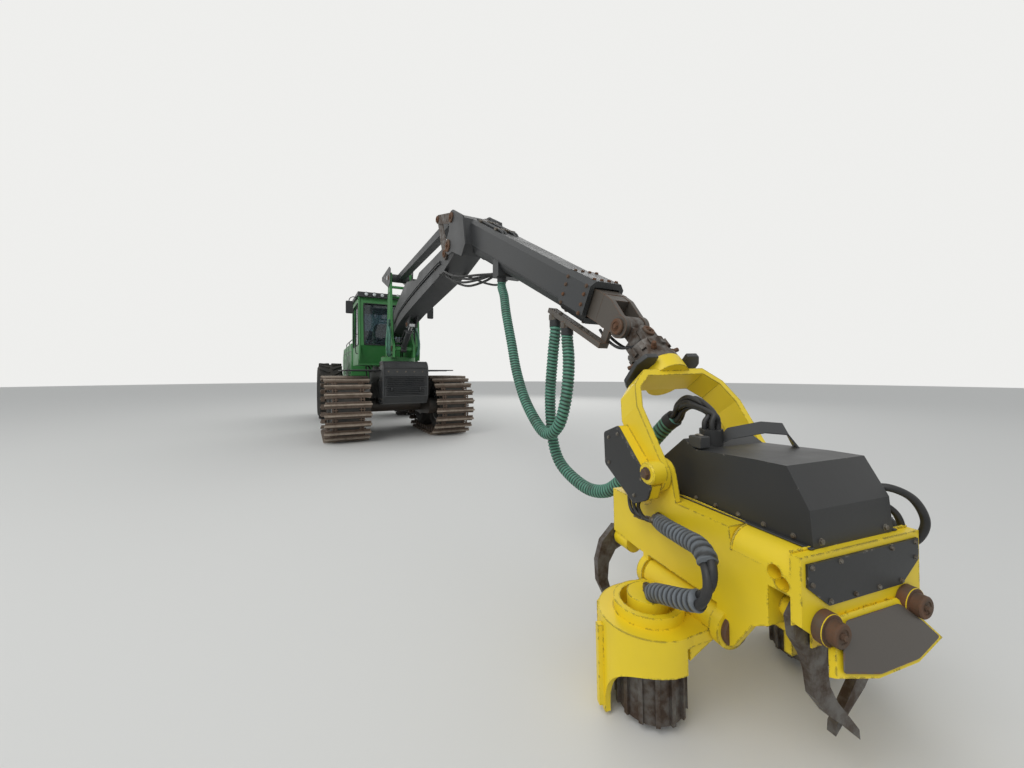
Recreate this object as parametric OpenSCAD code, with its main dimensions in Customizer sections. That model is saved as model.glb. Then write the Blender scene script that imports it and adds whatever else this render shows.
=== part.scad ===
/* [Machine] */
// Place of the front bogie axle, ahead of the machine's middle when positive
front_axle_x = -1640; // [-2000:10:-1000]
// Distance from the front bogie axle back to the rear axle
wheelbase = 4000; // [3800:10:4300]
// Width over the tracks and the rear tyres
overall_w = 3150; // [3000:10:3400]
// Height of the bogie and rear axle centres' frame line above the ground
frame_low_z = 780; // [700:10:850]

/* [Tracked bogies] */
// Distance between the two wheels of a bogie
bogie_base = 1500; // [1400:10:1600]
// Height of a track over its shoes
track_h = 1396; // [1300:2:1500]
// Width of a track shoe
track_w = 900; // [800:10:950]
// Height of the bar that stands up on a shoe
grouser_h = 42; // [25:1:60]
// Thickness of a shoe's plate
shoe_t = 20; // [12:1:30]
// Number of shoes in one track
shoe_count = 34; // [28:1:40]
// Width of a bogie tyre
bogie_tyre_w = 600; // [500:10:700]

/* [Rear wheels] */
// Diameter of a rear tyre
rear_tyre_d = 1780; // [1700:10:1850]
// Width of a rear tyre
rear_tyre_w = 700; // [600:10:750]
// Diameter of a rear rim
rear_rim_d = 900; // [800:10:1000]
// Number of lugs on each half of the tread
lug_count = 22; // [16:1:26]

/* [Frames] */
// Half width of the front frame
frame_half_w = 430; // [380:5:460]
// Place of the steering pivot behind the front bogie axle
pivot_back = 1750; // [1650:10:1850]
// Half width of the front guard box
guard_half_w = 474; // [420:2:500]
// Height of the front guard's top
guard_top_z = 1700; // [1650:10:1760]
// Length of the rear frame behind the steering pivot
rear_len = 4150; // [4000:10:4300]
// Half width of the engine hood
hood_half_w = 700; // [640:10:740]
// Height of the engine hood's top
hood_top_z = 2350; // [2200:10:2500]

// Radius of the towing pin's hole
tow_pin_r = 26; // [20:1:32]

/* [Cab] */
// Width of the cab
cab_w = 1480; // [1400:10:1560]
// Length of the cab
cab_l = 1480; // [1400:10:1560]
// Height of the cab's roof above the ground
cab_top_z = 3480; // [3400:10:3600]
// Thickness of the cab's wall posts
cab_wall = 70; // [50:5:90]
// Thickness of the cab's panes
pane_t = 10; // [8:1:15]

/* [Crane] */
// Height of the main boom's root pin above the ground
boom_root_z = 2485; // [2400:5:2550]
// Width of the main boom
boom_w = 370; // [340:5:390]
// Width of the outer boom at its knee
jib_w = 330; // [310:5:350]
// Width of the extension arm inside the outer boom
ext_w = 200; // [180:5:205]
// Lean of the rotator ahead of straight down, in degrees
rotator_lean = 44; // [40:1:48]

/* [Harvester head] */
// Half width of the head's frame
head_half_w = 300; // [290:5:305]
// Half width over the tilt hoop's legs
hoop_half_w = 340; // [335:5:360]

/* [Hidden] */

// Clearances: between fixed pieces, between moving pieces, and of a pin in its bore
seat = 0.3;
run = 6;
pin_fit = 0.08;
e = 0.01;

// Heights and widths that follow from the driving sizes
track_r = track_h / 2;
axle_z = track_r;
track_mid_y = overall_w / 2 - track_w / 2;
band_out_r = track_r - grouser_h;
band_in_r = band_out_r - shoe_t;
bogie_tyre_r = band_in_r - seat;
bogie_rim_r = 345;
case_in_y = track_mid_y - 480;
case_t = 170;
rear_axle_x = -wheelbase;
rear_wheel_y = overall_w / 2 - rear_tyre_w / 2;
rear_r = rear_tyre_d / 2;
pivot_x = -pivot_back;
rear_end_x = pivot_x - rear_len;
frame_top_z = 1500;
cab_mid_x = -1080;
cab_floor_z = 1700;
door_x = [-cab_l / 2 + 110, -cab_l / 2 + 1010];
door_hinge_z = [2000, 3000];
slew_x = 600;
slew_top_z = 1780;

// Crane points in its plane, ahead of the front bogie axle and above the ground
boom_root = [800, boom_root_z];
bar_root = [800, 3600];
rock_pin = [4670, 3085];
bar_eye = [4430, 3630];
horn_pin = [5090, 3420];
knee_pin = [4960, 3100];
lift_foot = [1130, 1990];
lift_eye = [1900, 2440];
mouth = [7600, 1950];
tip_pin = [7865, 1756];
hoop_pin = [8490, 985];
jib_deg = 28;
bar_deg = atan2(bar_eye[1] - bar_root[1], bar_eye[0] - bar_root[0]);
bar_len = norm(bar_eye - bar_root);
lift_deg = atan2(lift_eye[1] - lift_foot[1], lift_eye[0] - lift_foot[0]);
lift_len = norm(lift_eye - lift_foot);

// Layers of the knee out from the crane's plane: [inner face, thickness]
rocker_y = [boom_w / 2 + run, 20];
link_y = [boom_w / 2 + 2 * run + 20, 16];
cheek_y = [boom_w / 2 + 3 * run + 36, 20];

// Rotator lengths down from the tip pin
cross_pin_down = 135;
rotor_down = 385;
flange_down = 455;
lean_down = [sin(rotator_lean), -cos(rotator_lean)];
cross_pin = tip_pin + cross_pin_down * lean_down;

// The head hangs swung to one side about the cross pin, and turned on its rotator, in degrees
side_turn = -6;
head_turn = 8;

// Tilt hoop: middle of its crown, its length to the pin and its lean
hoop_top = tip_pin + (flange_down + 25) * lean_down;
hoop_len = norm(hoop_top - hoop_pin);
hoop_deg = atan2(hoop_pin[0] - hoop_top[0], hoop_top[1] - hoop_pin[1]);

// Feed arms, feed rollers and knives: pins in end view, out from the middle and above the ground
arm_pin = [262, 455];
arm_x = [8390, 8800];
roller_mid = [8600, 470];
front_knife_pin = [210, 640];
front_knife_x = [9032, 9068];
knife_t = 30;
rear_knife_pin = [250, 520];
head_deck_z = 872;
hood_port = [8560, -60, 1190];
end_plate_x = [9104, 9140];

// Hoses at the bar under the outer boom: [head hose, loop]
bar_hose_x = [7166, 7325];
bar_hose_z = [1880, 1800];
hose_y = -106;

// Steering cylinder pins seen from above: [x, y]
steer_foot = [-700, frame_half_w + 110];
steer_eye = [pivot_x - 300, 450];
steer_z = 1130;
steer_len = norm(steer_eye - steer_foot);
steer_deg = atan2(steer_foot[1] - steer_eye[1], steer_foot[0] - steer_eye[0]);
deck_z = 1300 - seat;

// Hinge of the hood: across the machine behind its rear foot
hood_hinge = [rear_end_x + 72, 1322];
hood_knuckle_y = [-350, 350];

// Colours seen in the photograph
dark = "#23272a";
green = "#2f7d3b";
steel = "#6c6a66";
yellow = "#f2d21b";
tyre_col = "#1c1c1c";

// Plate or block drawn in side view and w wide about y
module side(w, y = 0) {
    translate([0, y, 0]) rotate([90, 0, 0]) linear_extrude(w, center = true) children();
}

// Round bar across the machine, at p in side view
module across(p, r, w, y = 0) {
    translate([p[0], y, p[1]]) rotate([90, 0, 0]) cylinder(r = r, h = w, center = true, $fn = 48);
}

module at(p) { translate([p[0], 0, p[1]]) children(); }
module on_axle() { translate([front_axle_x, 0, 0]) children(); }

// A left-hand piece for s = 1, and its mirror image for s = -1
module sided(s) { mirror([0, s > 0 ? 0 : 1, 0]) children(); }

module front_frame() {
    color(dark) on_axle() {
        difference() {
            union() {
                intersection() {
                    side(2 * frame_half_w) polygon([[pivot_x + 330, 900], [-1000, frame_low_z],
                        [850, frame_low_z - 30], [850, frame_top_z], [pivot_x + 330, frame_top_z]]);
                    linear_extrude(2000) polygon([[pivot_x, -220], [-850, -frame_half_w],
                        [900, -frame_half_w],
                        [900, frame_half_w], [-850, frame_half_w], [pivot_x, 220]]);
                }
                across([0, axle_z], 165, 2 * case_in_y - 2 * run);
                across([0, axle_z], 110, 2 * (case_in_y + case_t));
                translate([slew_x, 0, frame_top_z - 1])
                    cylinder(r = 400, h = slew_top_z - frame_top_z - 60 + 1, $fn = 64);
                translate([cab_mid_x, 0, frame_top_z - 1]) cylinder(r = 330, h = 120, $fn = 64);
                translate([cab_mid_x, 0, frame_top_z - 1]) cylinder(r = 150, h = 150, $fn = 64);
                for (z = [900, 1330]) translate([pivot_x, -200, z]) cube([340, 400, 70]);
                for (z = [900, 1330]) translate([pivot_x, 0, z]) cylinder(r = 200, h = 70, $fn = 48);
                for (s = [-1, 1], z = [-44, 20]) translate([steer_foot[0], s * steer_foot[1], steer_z + z]) {
                    cylinder(r = 60, h = 24, $fn = 40);
                    translate([-60, s > 0 ? -120 : 0, 0]) cube([120, 120, 24]);
                }
                for (s = [-1, 1]) translate([steer_foot[0], s * steer_foot[1], steer_z - 44])
                    cylinder(r = 30, h = 88, $fn = 32);
            }
            translate([slew_x, 0, frame_top_z + 20]) cylinder(r = 250, h = 400, $fn = 64);
            translate([pivot_x, 0, 800]) cylinder(r = 60 + pin_fit, h = 700, $fn = 48);
        }
    }
}

module front_guard() {
    color(dark) on_axle() side(2 * guard_half_w)
        polygon([[850 + seat, frame_low_z + 20], [1300, frame_low_z + 20], [1400, frame_low_z + 170],
            [1400, guard_top_z - 120], [1320, guard_top_z], [1020, guard_top_z],
                [1020, frame_top_z - 1 - seat],
            [850 + seat, frame_top_z - 1 - seat]]);
}

// Bogie case with its walking-beam shape and hubs
module bogie_case(s) {
    color(dark) on_axle() sided(s) difference() {
        union() {
            side(case_t, case_in_y + case_t / 2) hull() for (x = [-bogie_base / 2, 0, bogie_base / 2])
                translate([x, axle_z]) circle(x == 0 ? 240 : 190, $fn = 32);
            for (x = [-1, 1]) across([x * bogie_base / 2, axle_z], 150,
                track_mid_y - 50 - seat - case_in_y - case_t + 1,
                (track_mid_y - 50 - seat + case_in_y + case_t - 1) / 2);
        }
        across([0, axle_z], 110 + pin_fit, 3 * overall_w);
    }
}

module bogie_rims(s) {
    color("#7a7f80") on_axle() sided(s) for (x = [-1, 1])
        translate([x * bogie_base / 2, track_mid_y, axle_z]) rotate([-90, 0, 0])
            rotate_extrude($fn = 64) polygon([[0, -50], [bogie_rim_r - 25, -50], [bogie_rim_r - 25, -270],
                [bogie_rim_r, -270], [bogie_rim_r, 270], [bogie_rim_r - 25, 270], [bogie_rim_r - 25, -20],
                    [0, -20]]);
}

module tyre_ring(r_out, r_in, w, flat) {
    rotate([90, 0, 0]) rotate_extrude($fn = 72) polygon([
        [r_in, -w / 2 + 40], [r_in + 60, -w / 2], [r_out - 110, -w / 2], [r_out, -w / 2 + flat],
        [r_out, w / 2 - flat], [r_out - 110, w / 2], [r_in + 60, w / 2], [r_in, w / 2 - 40]]);
}

module bogie_tyres(s) {
    color(tyre_col) on_axle() sided(s) for (x = [-1, 1])
        translate([x * bogie_base / 2, track_mid_y, axle_z])
            tyre_ring(bogie_tyre_r, bogie_rim_r + seat, bogie_tyre_w, 60);
}

// Side view of the track's band: the loop round both wheels, r from their centres
module loop_2d(r) {
    for (x = [-1, 1]) translate([x * bogie_base / 2, 0]) circle(r, $fn = 96);
    square([bogie_base, 2 * r], center = true);
}

// Place and turn of shoe i along the loop: [x, z, degrees]
loop_len = 2 * bogie_base + 2 * PI * band_out_r;
function loop_at(d) =
    d < bogie_base ? [-bogie_base / 2 + d, band_out_r, 0] :
    d < bogie_base + PI * band_out_r ?
        let (a = 90 - (d - bogie_base) / band_out_r * 180 / PI)
        [bogie_base / 2 + band_out_r * cos(a), band_out_r * sin(a), a - 90] :
    d < 2 * bogie_base + PI * band_out_r ?
        [bogie_base / 2 - (d - bogie_base - PI * band_out_r), -band_out_r, 180] :
        let (a = 270 - (d - 2 * bogie_base - PI * band_out_r) / band_out_r * 180 / PI)
        [-bogie_base / 2 + band_out_r * cos(a), band_out_r * sin(a), a - 90];

module track(s) {
    color("#5a4636") on_axle() translate([0, s * track_mid_y, axle_z])
        rotate([90, 0, 0]) {
            linear_extrude(track_w - 40, center = true) difference() {
                loop_2d(band_out_r);
                loop_2d(band_in_r);
            }
            linear_extrude(track_w, center = true) for (i = [0 : shoe_count - 1])
                let (p = loop_at((i + 0.5) * loop_len / shoe_count))
                translate([p[0], p[1]]) rotate(p[2])
                    polygon([[-26, -1], [26, -1], [12, grouser_h], [-12, grouser_h]]);
        }
}

// Place along the left steering cylinder, x from its foot to its eye
module along_steer(s) {
    on_axle() sided(s) translate([steer_foot[0], steer_foot[1], steer_z]) rotate([0, 0, steer_deg + 180])
        children();
}

module steer_barrel(s) {
    color(dark) along_steer(s) difference() {
        union() {
            translate([75, 0, 0]) rotate([0, 90, 0]) cylinder(r = 50, h = steer_len - 550, $fn = 40);
            translate([0, 0, -19]) cylinder(r = 55, h = 38, $fn = 40);
            translate([0, -40, -19]) cube([100, 80, 38]);
        }
        translate([0, 0, -100]) cylinder(r = 30 + pin_fit, h = 200, $fn = 32);
        translate([110, 0, 0]) rotate([0, 90, 0]) cylinder(r = 28 + pin_fit, h = steer_len, $fn = 32);
    }
}

module steer_rod(s) {
    color("silver") along_steer(s) {
        translate([485, 0, 0]) rotate([0, 90, 0]) cylinder(r = 28, h = steer_len - 485 - 95, $fn = 32);
        translate([steer_len - 105, -26, -19]) cube([80, 52, 38]);
        translate([steer_len, 0, -19]) cylinder(r = 45, h = 38, $fn = 40);
    }
}

module rear_frame() {
    color(dark) on_axle() {
        intersection() {
            side(700) polygon([[pivot_x - 210, 1100], [pivot_x - 300, 1000], [rear_axle_x + 400,
                frame_low_z + 60],
                [rear_end_x + 250, frame_low_z + 60], [rear_end_x + 250, deck_z], [pivot_x - 260, deck_z],
                [pivot_x - 210, 1200]]);
            linear_extrude(2000) polygon([[pivot_x, -290], [pivot_x - 600, -290], [pivot_x - 750, -350],
                [rear_end_x, -350], [rear_end_x, 350], [pivot_x - 750, 350], [pivot_x - 600, 290],
                    [pivot_x, 290]]);
        }
        translate([pivot_x - 400, -180, 970 + run]) cube([400, 360, 360 - 2 * run]);
        translate([pivot_x, 0, 970 + run]) cylinder(r = 180, h = 360 - 2 * run, $fn = 48);
        translate([pivot_x, 0, 890]) cylinder(r = 60, h = 520, $fn = 48);
        across([rear_axle_x, rear_r], 170, 2 * (rear_wheel_y - 60) - 2 * run);
        across([rear_axle_x, rear_r], 90, 2 * (rear_wheel_y + 30));
        for (s = [-1, 1], z = [-44, 20]) translate([steer_eye[0], s * steer_eye[1], steer_z + z]) {
            cylinder(r = 60, h = 24, $fn = 40);
            translate([-60, s > 0 ? -170 : 0, 0]) cube([120, 170, 24]);
        }
    }
}

module engine_block() {
    color(steel) on_axle() translate([rear_axle_x - 600, -320, deck_z + seat]) cube([1200, 640, 760]);
}

module engine_hood() {
    color(green) on_axle() difference() {
        side(2 * hood_half_w) polygon([[pivot_x - 900, 1300], [pivot_x - 860, 2100], [pivot_x - 1000,
            hood_top_z],
            [rear_end_x + 500, hood_top_z - 60], [rear_end_x + 130, 1900], [rear_end_x + 100, 1300]]);
        side(2 * hood_half_w - 80) polygon([[pivot_x - 945, 1290], [pivot_x - 905, 2080], [pivot_x - 1020,
            hood_top_z - 45],
            [rear_end_x + 520, hood_top_z - 105], [rear_end_x + 175, 1880], [rear_end_x + 145, 1290]]);
        translate([rear_end_x, -450, 1430]) cube([400, 900, 420]);
    }
    color(green) on_axle() for (y = hood_knuckle_y) difference() {
        union() {
            across(hood_hinge, 23, 80, y);
            translate([hood_hinge[0], y - 40, hood_hinge[1] - 10]) cube([44, 80, 20]);
        }
        across(hood_hinge, 10 + pin_fit, 90, y);
    }
}

module radiator_grille() {
    color(dark) on_axle() {
        for (i = [0 : 9]) translate([rear_end_x + 112, -450 + seat, 1440 + i * 41])
            cube([22, 900 - 2 * seat, 14]);
        for (y = [-449, -10, 427]) translate([rear_end_x + 134, y, 1434]) cube([14, 22, 410]);
    }
}

module rear_bumper() {
    color(dark) on_axle() difference() {
        side(1500) polygon([[rear_end_x, 900], [rear_end_x + 120, 900], [rear_end_x + 250 - seat, 860],
            [rear_end_x + 250 - seat, 1290], [rear_end_x, 1290]]);
        translate([rear_end_x - 1, -250, 960]) cube([120, 500, 200]);
        translate([rear_end_x + 40, 0, 800]) cylinder(r = tow_pin_r, h = 600, $fn = 48);
    }
    color(dark) on_axle() for (y = hood_knuckle_y) {
        across(hood_hinge, 10, 140, y);
        for (o = [-56, 56]) {
            across(hood_hinge, 23, 30, y + o);
            translate([hood_hinge[0] - 20, y + o - 15, 1289]) cube([40, 30, hood_hinge[1] - 1289]);
        }
    }
}

module rear_rim(s) {
    color("#7a7f80") on_axle() sided(s) translate([rear_axle_x, rear_wheel_y, rear_r]) rotate([-90, 0, 0])
        rotate_extrude($fn = 64) polygon([[90 + pin_fit, -60], [rear_rim_d / 2 - 30, -60],
            [rear_rim_d / 2 - 30, -300],
            [rear_rim_d / 2, -300], [rear_rim_d / 2, 300], [rear_rim_d / 2 - 30, 300],
                [rear_rim_d / 2 - 30, -20],
            [90 + pin_fit, -20]]);
}

module rear_tyre(s) {
    color(tyre_col) on_axle() sided(s) translate([rear_axle_x, rear_wheel_y, rear_r]) {
        tyre_ring(rear_r - 45, rear_rim_d / 2 + seat, rear_tyre_w, 60);
        for (i = [0 : lug_count - 1]) for (h = [-1, 1])
            rotate([0, (i + (h > 0 ? 0.5 : 0)) * 360 / lug_count, 0])
                translate([0, h * (rear_tyre_w / 4 + 5), rear_r - 77]) rotate([0, 0, h * 35])
                    translate([-28, -rear_tyre_w / 4, 0]) cube([56, rear_tyre_w / 2 - 30, 70]);
    }
}

module cab_place() { on_axle() translate([cab_mid_x, 0, 0]) children(); }

// Outline of the cab in side view
module cab_side_2d(g = 0) {
    polygon([[-cab_l / 2 + g, cab_floor_z + g], [cab_l / 2 - 200 - g, cab_floor_z + g], [cab_l / 2 - g,
        2150],
        [cab_l / 2 - 160 - g, cab_top_z - 120 - g], [-cab_l / 2 + 60 + g, cab_top_z - 120 - g],
            [-cab_l / 2 + g, 2500]]);
}

module cab_base() {
    color(green) cab_place() {
        difference() {
            translate([0, 0, frame_top_z + 119 + run]) cylinder(r = 320, h =
                1680 - frame_top_z - 119 - run, $fn = 64);
            translate([0, 0, frame_top_z]) cylinder(r = 150 + pin_fit, h = 149 + run, $fn = 64);
        }
        translate([-cab_l / 2, -cab_w / 2, 1660]) cube([cab_l - 200, cab_w, cab_floor_z - 1660 - seat]);
    }
}

// Side window of the cab, g smaller all round
module side_window_2d(g = 0) {
    intersection() {
        cab_side_2d(2 * cab_wall + g);
        translate([-cab_l, 2150 + g]) square([2 * cab_l, 2000]);
    }
}

module cab_shell() {
    color(green) cab_place() {
        difference() {
            side(cab_w) cab_side_2d();
            side(cab_w - 2 * cab_wall) cab_side_2d(cab_wall);
            side(cab_w / 2 + 10, -cab_w / 4 - 5) side_window_2d();
            side(cab_w / 2 + 10, cab_w / 4 + 5) intersection() {
                side_window_2d();
                translate([door_x[1] + 80, 0]) square(5000);
            }
            translate([0, -cab_w / 2 + 110, 2150]) cube([cab_l, cab_w - 220, 1060]);
            translate([-cab_l, -cab_w / 2 + 110, 2300]) cube([cab_l, cab_w - 220, 850]);
            translate([door_x[0], cab_w / 2 - cab_wall - 1, cab_floor_z + 60])
                cube([door_x[1] - door_x[0], cab_wall + 2, 1500]);
        }
        for (z = door_hinge_z) translate([door_x[0] - 40, cab_w / 2 - 1, z]) cube([40 - 2, 31, 30]);
        for (z = door_hinge_z) translate([door_x[0] - 2, cab_w / 2 + 15, z]) cylinder(r = 15, h = 30, $fn =
            32);
        for (z = door_hinge_z) translate([door_x[0] - 2, cab_w / 2 + 15, z]) cylinder(r = 8, h = 80, $fn =
            32);
    }
}

module cab_roof() {
    color(dark) cab_place() {
        translate([-cab_l / 2 + 20, -cab_w / 2 - 20, cab_top_z - 120 + seat])
            cube([cab_l - 120, cab_w + 40, 120 - seat]);
    }
}

module cab_panes() {
    color("#1f2a30") cab_place() {
        side(pane_t, -cab_w / 2 + 35) side_window_2d(seat);
        side(pane_t, cab_w / 2 - 35) intersection() {
            side_window_2d(seat);
            translate([door_x[1] + 80 + seat, 0]) square(5000);
        }
        side(cab_w - 220 - 2 * seat) intersection() {
            difference() {
                cab_side_2d(20);
                cab_side_2d(20 + pane_t);
            }
            translate([0, 2150 + seat]) square([cab_l, 1060 - 2 * seat]);
        }
        side(cab_w - 220 - 2 * seat) intersection() {
            difference() {
                cab_side_2d(20);
                cab_side_2d(20 + pane_t);
            }
            translate([-cab_l, 2300 + seat]) square([cab_l, 850 - 2 * seat]);
        }
    }
}

module cab_seat() {
    color("#2a2a2a") cab_place() {
        translate([-350, -250, cab_floor_z + cab_wall + seat]) cube([500, 500, 420]);
        translate([-420, -250, cab_floor_z + cab_wall + 421]) cube([140, 500, 620]);
    }
}

module roof_lamps() {
    color("silver") cab_place() for (i = [-3 : 3])
        translate([cab_l / 2 - 100 + seat, i * 190, cab_top_z - 60]) rotate([0, 90, 0]) cylinder(r = 50,
            h = 60, $fn = 32);
}

module cab_door() {
    color(green) cab_place() {
        difference() {
            translate([door_x[0] + run, cab_w / 2 - cab_wall, cab_floor_z + 60 + run])
                cube([door_x[1] - door_x[0] - 2 * run, cab_wall, 1500 - 2 * run]);
            translate([door_x[0] + 80, cab_w / 2 - cab_wall - 1, 2150]) cube([740, cab_wall + 2, 1030]);
        }
        for (z = door_hinge_z) difference() {
            union() {
                translate([door_x[0] - 2, cab_w / 2 + 15, z + 30 + seat]) cylinder(r = 15, h = 50, $fn = 32);
                translate([door_x[0] - 2, cab_w / 2 + 5, z + 30 + seat]) cube([60, 20, 50]);
                translate([door_x[0] + 20, cab_w / 2 - 1, z + 30 + seat]) cube([38, 10, 50]);
            }
            translate([door_x[0] - 2, cab_w / 2 + 15, z]) cylinder(r = 8 + pin_fit, h = 100, $fn = 32);
        }
    }
}

module door_pane() {
    color("#1f2a30") cab_place()
        translate([door_x[0] + 80 + seat, cab_w / 2 - 40, 2150 + seat])
            cube([740 - 2 * seat, pane_t, 1030 - 2 * seat]);
}

module crane_pillar() {
    color(green) on_axle() {
        translate([slew_x, 0, slew_top_z - 60 + run]) cylinder(r = 380, h = 90, $fn = 64);
        translate([slew_x, 0, 1600]) cylinder(r = 250 - pin_fit, h = 200, $fn = 64);
        for (s = [-1, 1]) difference() {
            side(50, s * (boom_w / 2 + run + 25)) polygon([[330, 1800], [1230, 1800], [1230, 2060],
                [1060, 2250],
                [960, 2640], [900, 3450], [890, 3700], [710, 3700], [640, 3300], [560, 2600], [330, 2200]]);
            across(boom_root, 60 + pin_fit, 2 * boom_w + 200);
            across(bar_root, 40 + pin_fit, 2 * boom_w + 200);
            across(lift_foot, 45 + pin_fit, 2 * boom_w + 200);
        }
        across(boom_root, 60, boom_w + 2 * run + 2 * 49);
        across(bar_root, 40, boom_w + 2 * run + 2 * 49);
        across(lift_foot, 45, boom_w + 2 * run + 2 * 49);
    }
}

module bar_guard_plate() {
    color(dark) on_axle() for (s = [-1, 1]) side(12, s * (boom_w / 2 + run + 50 + 6 + seat)) difference() {
        polygon([[1010, 3760], [960, 3480], [780, 3380], [-60, 3700], [-60, 3790], [880, 3830]]);
        translate([560, 3650]) circle(70, $fn = 32);
        translate([290, 3710]) circle(50, $fn = 32);
        translate(bar_root) circle(55, $fn = 32);
    }
}

module main_boom() {
    color("#55595b") on_axle() difference() {
        union() {
            side(boom_w) polygon([[600, 2400], [700, 2290], [1000, 2330], [1600, 2500], [2200, 2600],
                [4540, 2880],
                [4900, 2975], [5040, 3010], [5080, 3110], [5000, 3220], [4880, 3250], [4700, 3215],
                    [3950, 3185],
                [3215, 3165], [3030, 3080], [2900, 3100], [2300, 3200], [2100, 3170], [700, 2700],
                    [600, 2600]]);
            for (s = [-1, 1]) side(24, s * 79) polygon([[1700, 2560], [2140, 2620], [1970, 2370],
                [1830, 2370]]);
        }
        across(boom_root, 60 + pin_fit, boom_w + 2);
        across(rock_pin, 35 + pin_fit, boom_w + 2);
        across(knee_pin, 50 + pin_fit, boom_w + 2);
    }
}

module lift_barrel() {
    color(dark) on_axle() difference() {
        union() {
            at(lift_foot) rotate([0, 90 - lift_deg, 0]) translate([0, 0, 50])
                cylinder(r = 58, h = lift_len * 0.75 - 50, $fn = 40);
            across(lift_foot, 80, 120);
        }
        across(lift_foot, 45 + pin_fit, 122);
        at(lift_foot) rotate([0, 90 - lift_deg, 0]) translate([0, 0, 100])
            cylinder(r = 35 + pin_fit, h = lift_len, $fn = 40);
    }
}

module lift_rod() {
    color("silver") on_axle() {
        at(lift_foot) rotate([0, 90 - lift_deg, 0]) translate([0, 0, 215]) cylinder(r = 35, h =
            lift_len - 245, $fn = 40);
        across(lift_eye, 55, 120);
    }
}

module link_bar() {
    color("#55595b") on_axle() difference() {
        union() {
            at(bar_root) rotate([0, -bar_deg, 0]) translate([60, -70, -60]) cube([bar_len - 100, 140, 120]);
            across(bar_root, 90, 2 * (boom_w / 2 + run - seat));
            across(bar_eye, 60, 140);
            across(bar_eye, 35, 2 * (rocker_y[0] - seat));
        }
        across(bar_root, 40 + pin_fit, 2 * boom_w);
    }
}

// Pair of plates drawn in side view, mirrored about the crane's plane
module plates(layer) {
    for (s = [-1, 1]) side(layer[1], s * (layer[0] + layer[1] / 2)) children();
}

module knee_rocker() {
    color(steel) on_axle() {
        difference() {
            plates(rocker_y) hull() {
                translate(rock_pin) circle(85, $fn = 32);
                translate(bar_eye) circle(70, $fn = 32);
            }
            across(rock_pin, 35, 2 * boom_w);
        }
        across(rock_pin, 35, 2 * (rocker_y[0] + rocker_y[1]));
    }
}

module knee_link() {
    color(steel) on_axle() difference() {
        union() {
            plates(link_y) hull() {
                translate(bar_eye) circle(60, $fn = 32);
                translate(horn_pin) circle(70, $fn = 32);
            }
            for (s = [-1, 1]) across(bar_eye, 35, run - seat + 1, s * (link_y[0] - (run - seat) / 2 + 0.5));
        }
        across(horn_pin, 45 + pin_fit, 2 * boom_w);
    }
}

// Slice of a welded box beam, w wide and h high with its lower corners cut cy by cz, t long
module beam_slice(w, h, cy, cz, t) {
    rotate([90, 0, 90]) linear_extrude(t) polygon([[-w / 2, cz - h / 2], [cy - w / 2, -h / 2],
        [w / 2 - cy, -h / 2],
        [w / 2, cz - h / 2], [w / 2, h / 2 - 40], [w / 2 - 40, h / 2], [40 - w / 2, h / 2],
            [-w / 2, h / 2 - 40]]);
}

// Place along the outer boom: x beyond its mouth's centre, z square to its axis
module along_jib() {
    at(mouth) rotate([0, jib_deg, 0]) children();
}

module outer_boom() {
    color("#4a4d4f") on_axle() {
        difference() {
            plates(cheek_y) polygon([[5020, 3480], [5060, 3510], [5140, 3500], [5480, 3310], [5560, 2950],
                [5440, 2840], [5100, 2985], [4960, 2985], [4860, 3040], [4850, 3130], [4900, 3210],
                    [4990, 3280]]);
            across(knee_pin, 50, 2 * boom_w);
            across(horn_pin, 45, 2 * boom_w);
        }
        across(knee_pin, 50, 2 * (cheek_y[0] + cheek_y[1]));
        for (s = [-1, 1]) across(knee_pin, 80, cheek_y[0] - boom_w / 2 - run + e,
            s * (cheek_y[0] + boom_w / 2 + run + e) / 2);
        for (s = [-1, 1]) across(horn_pin, 45, cheek_y[0] + cheek_y[1] - link_y[0],
            s * (link_y[0] + cheek_y[0] + cheek_y[1]) / 2);
        difference() {
            union() {
                side(2 * cheek_y[0]) polygon([[5240, 3415], [5480, 3285], [5540, 2960], [5400, 2870],
                    [5200, 2960]]);
                hull() {
                    along_jib() translate([-2640, 0, 0]) beam_slice(jib_w, 370, 60, 110, 10);
                    along_jib() translate([-340, 0, 0]) beam_slice(jib_w - 60, 290, 50, 60, 10);
                }
                along_jib() translate([-331, 0, 0]) beam_slice(jib_w - 30, 310, 55, 60, 331);
                translate([6080, -150, 2450]) cube([130, 300, 190]);
            }
            along_jib() translate([-2450, -ext_w / 2 - 2, -102]) cube([2290, ext_w + 4, 204]);
            along_jib() translate([-161, -ext_w / 2 - pin_fit, -100 - pin_fit])
                cube([200, ext_w + 2 * pin_fit, 200 + 2 * pin_fit]);
            along_jib() translate([-50, -ext_w / 2 - 12, -112]) cube([60, ext_w + 24, 224]);
        }
    }
}

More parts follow.
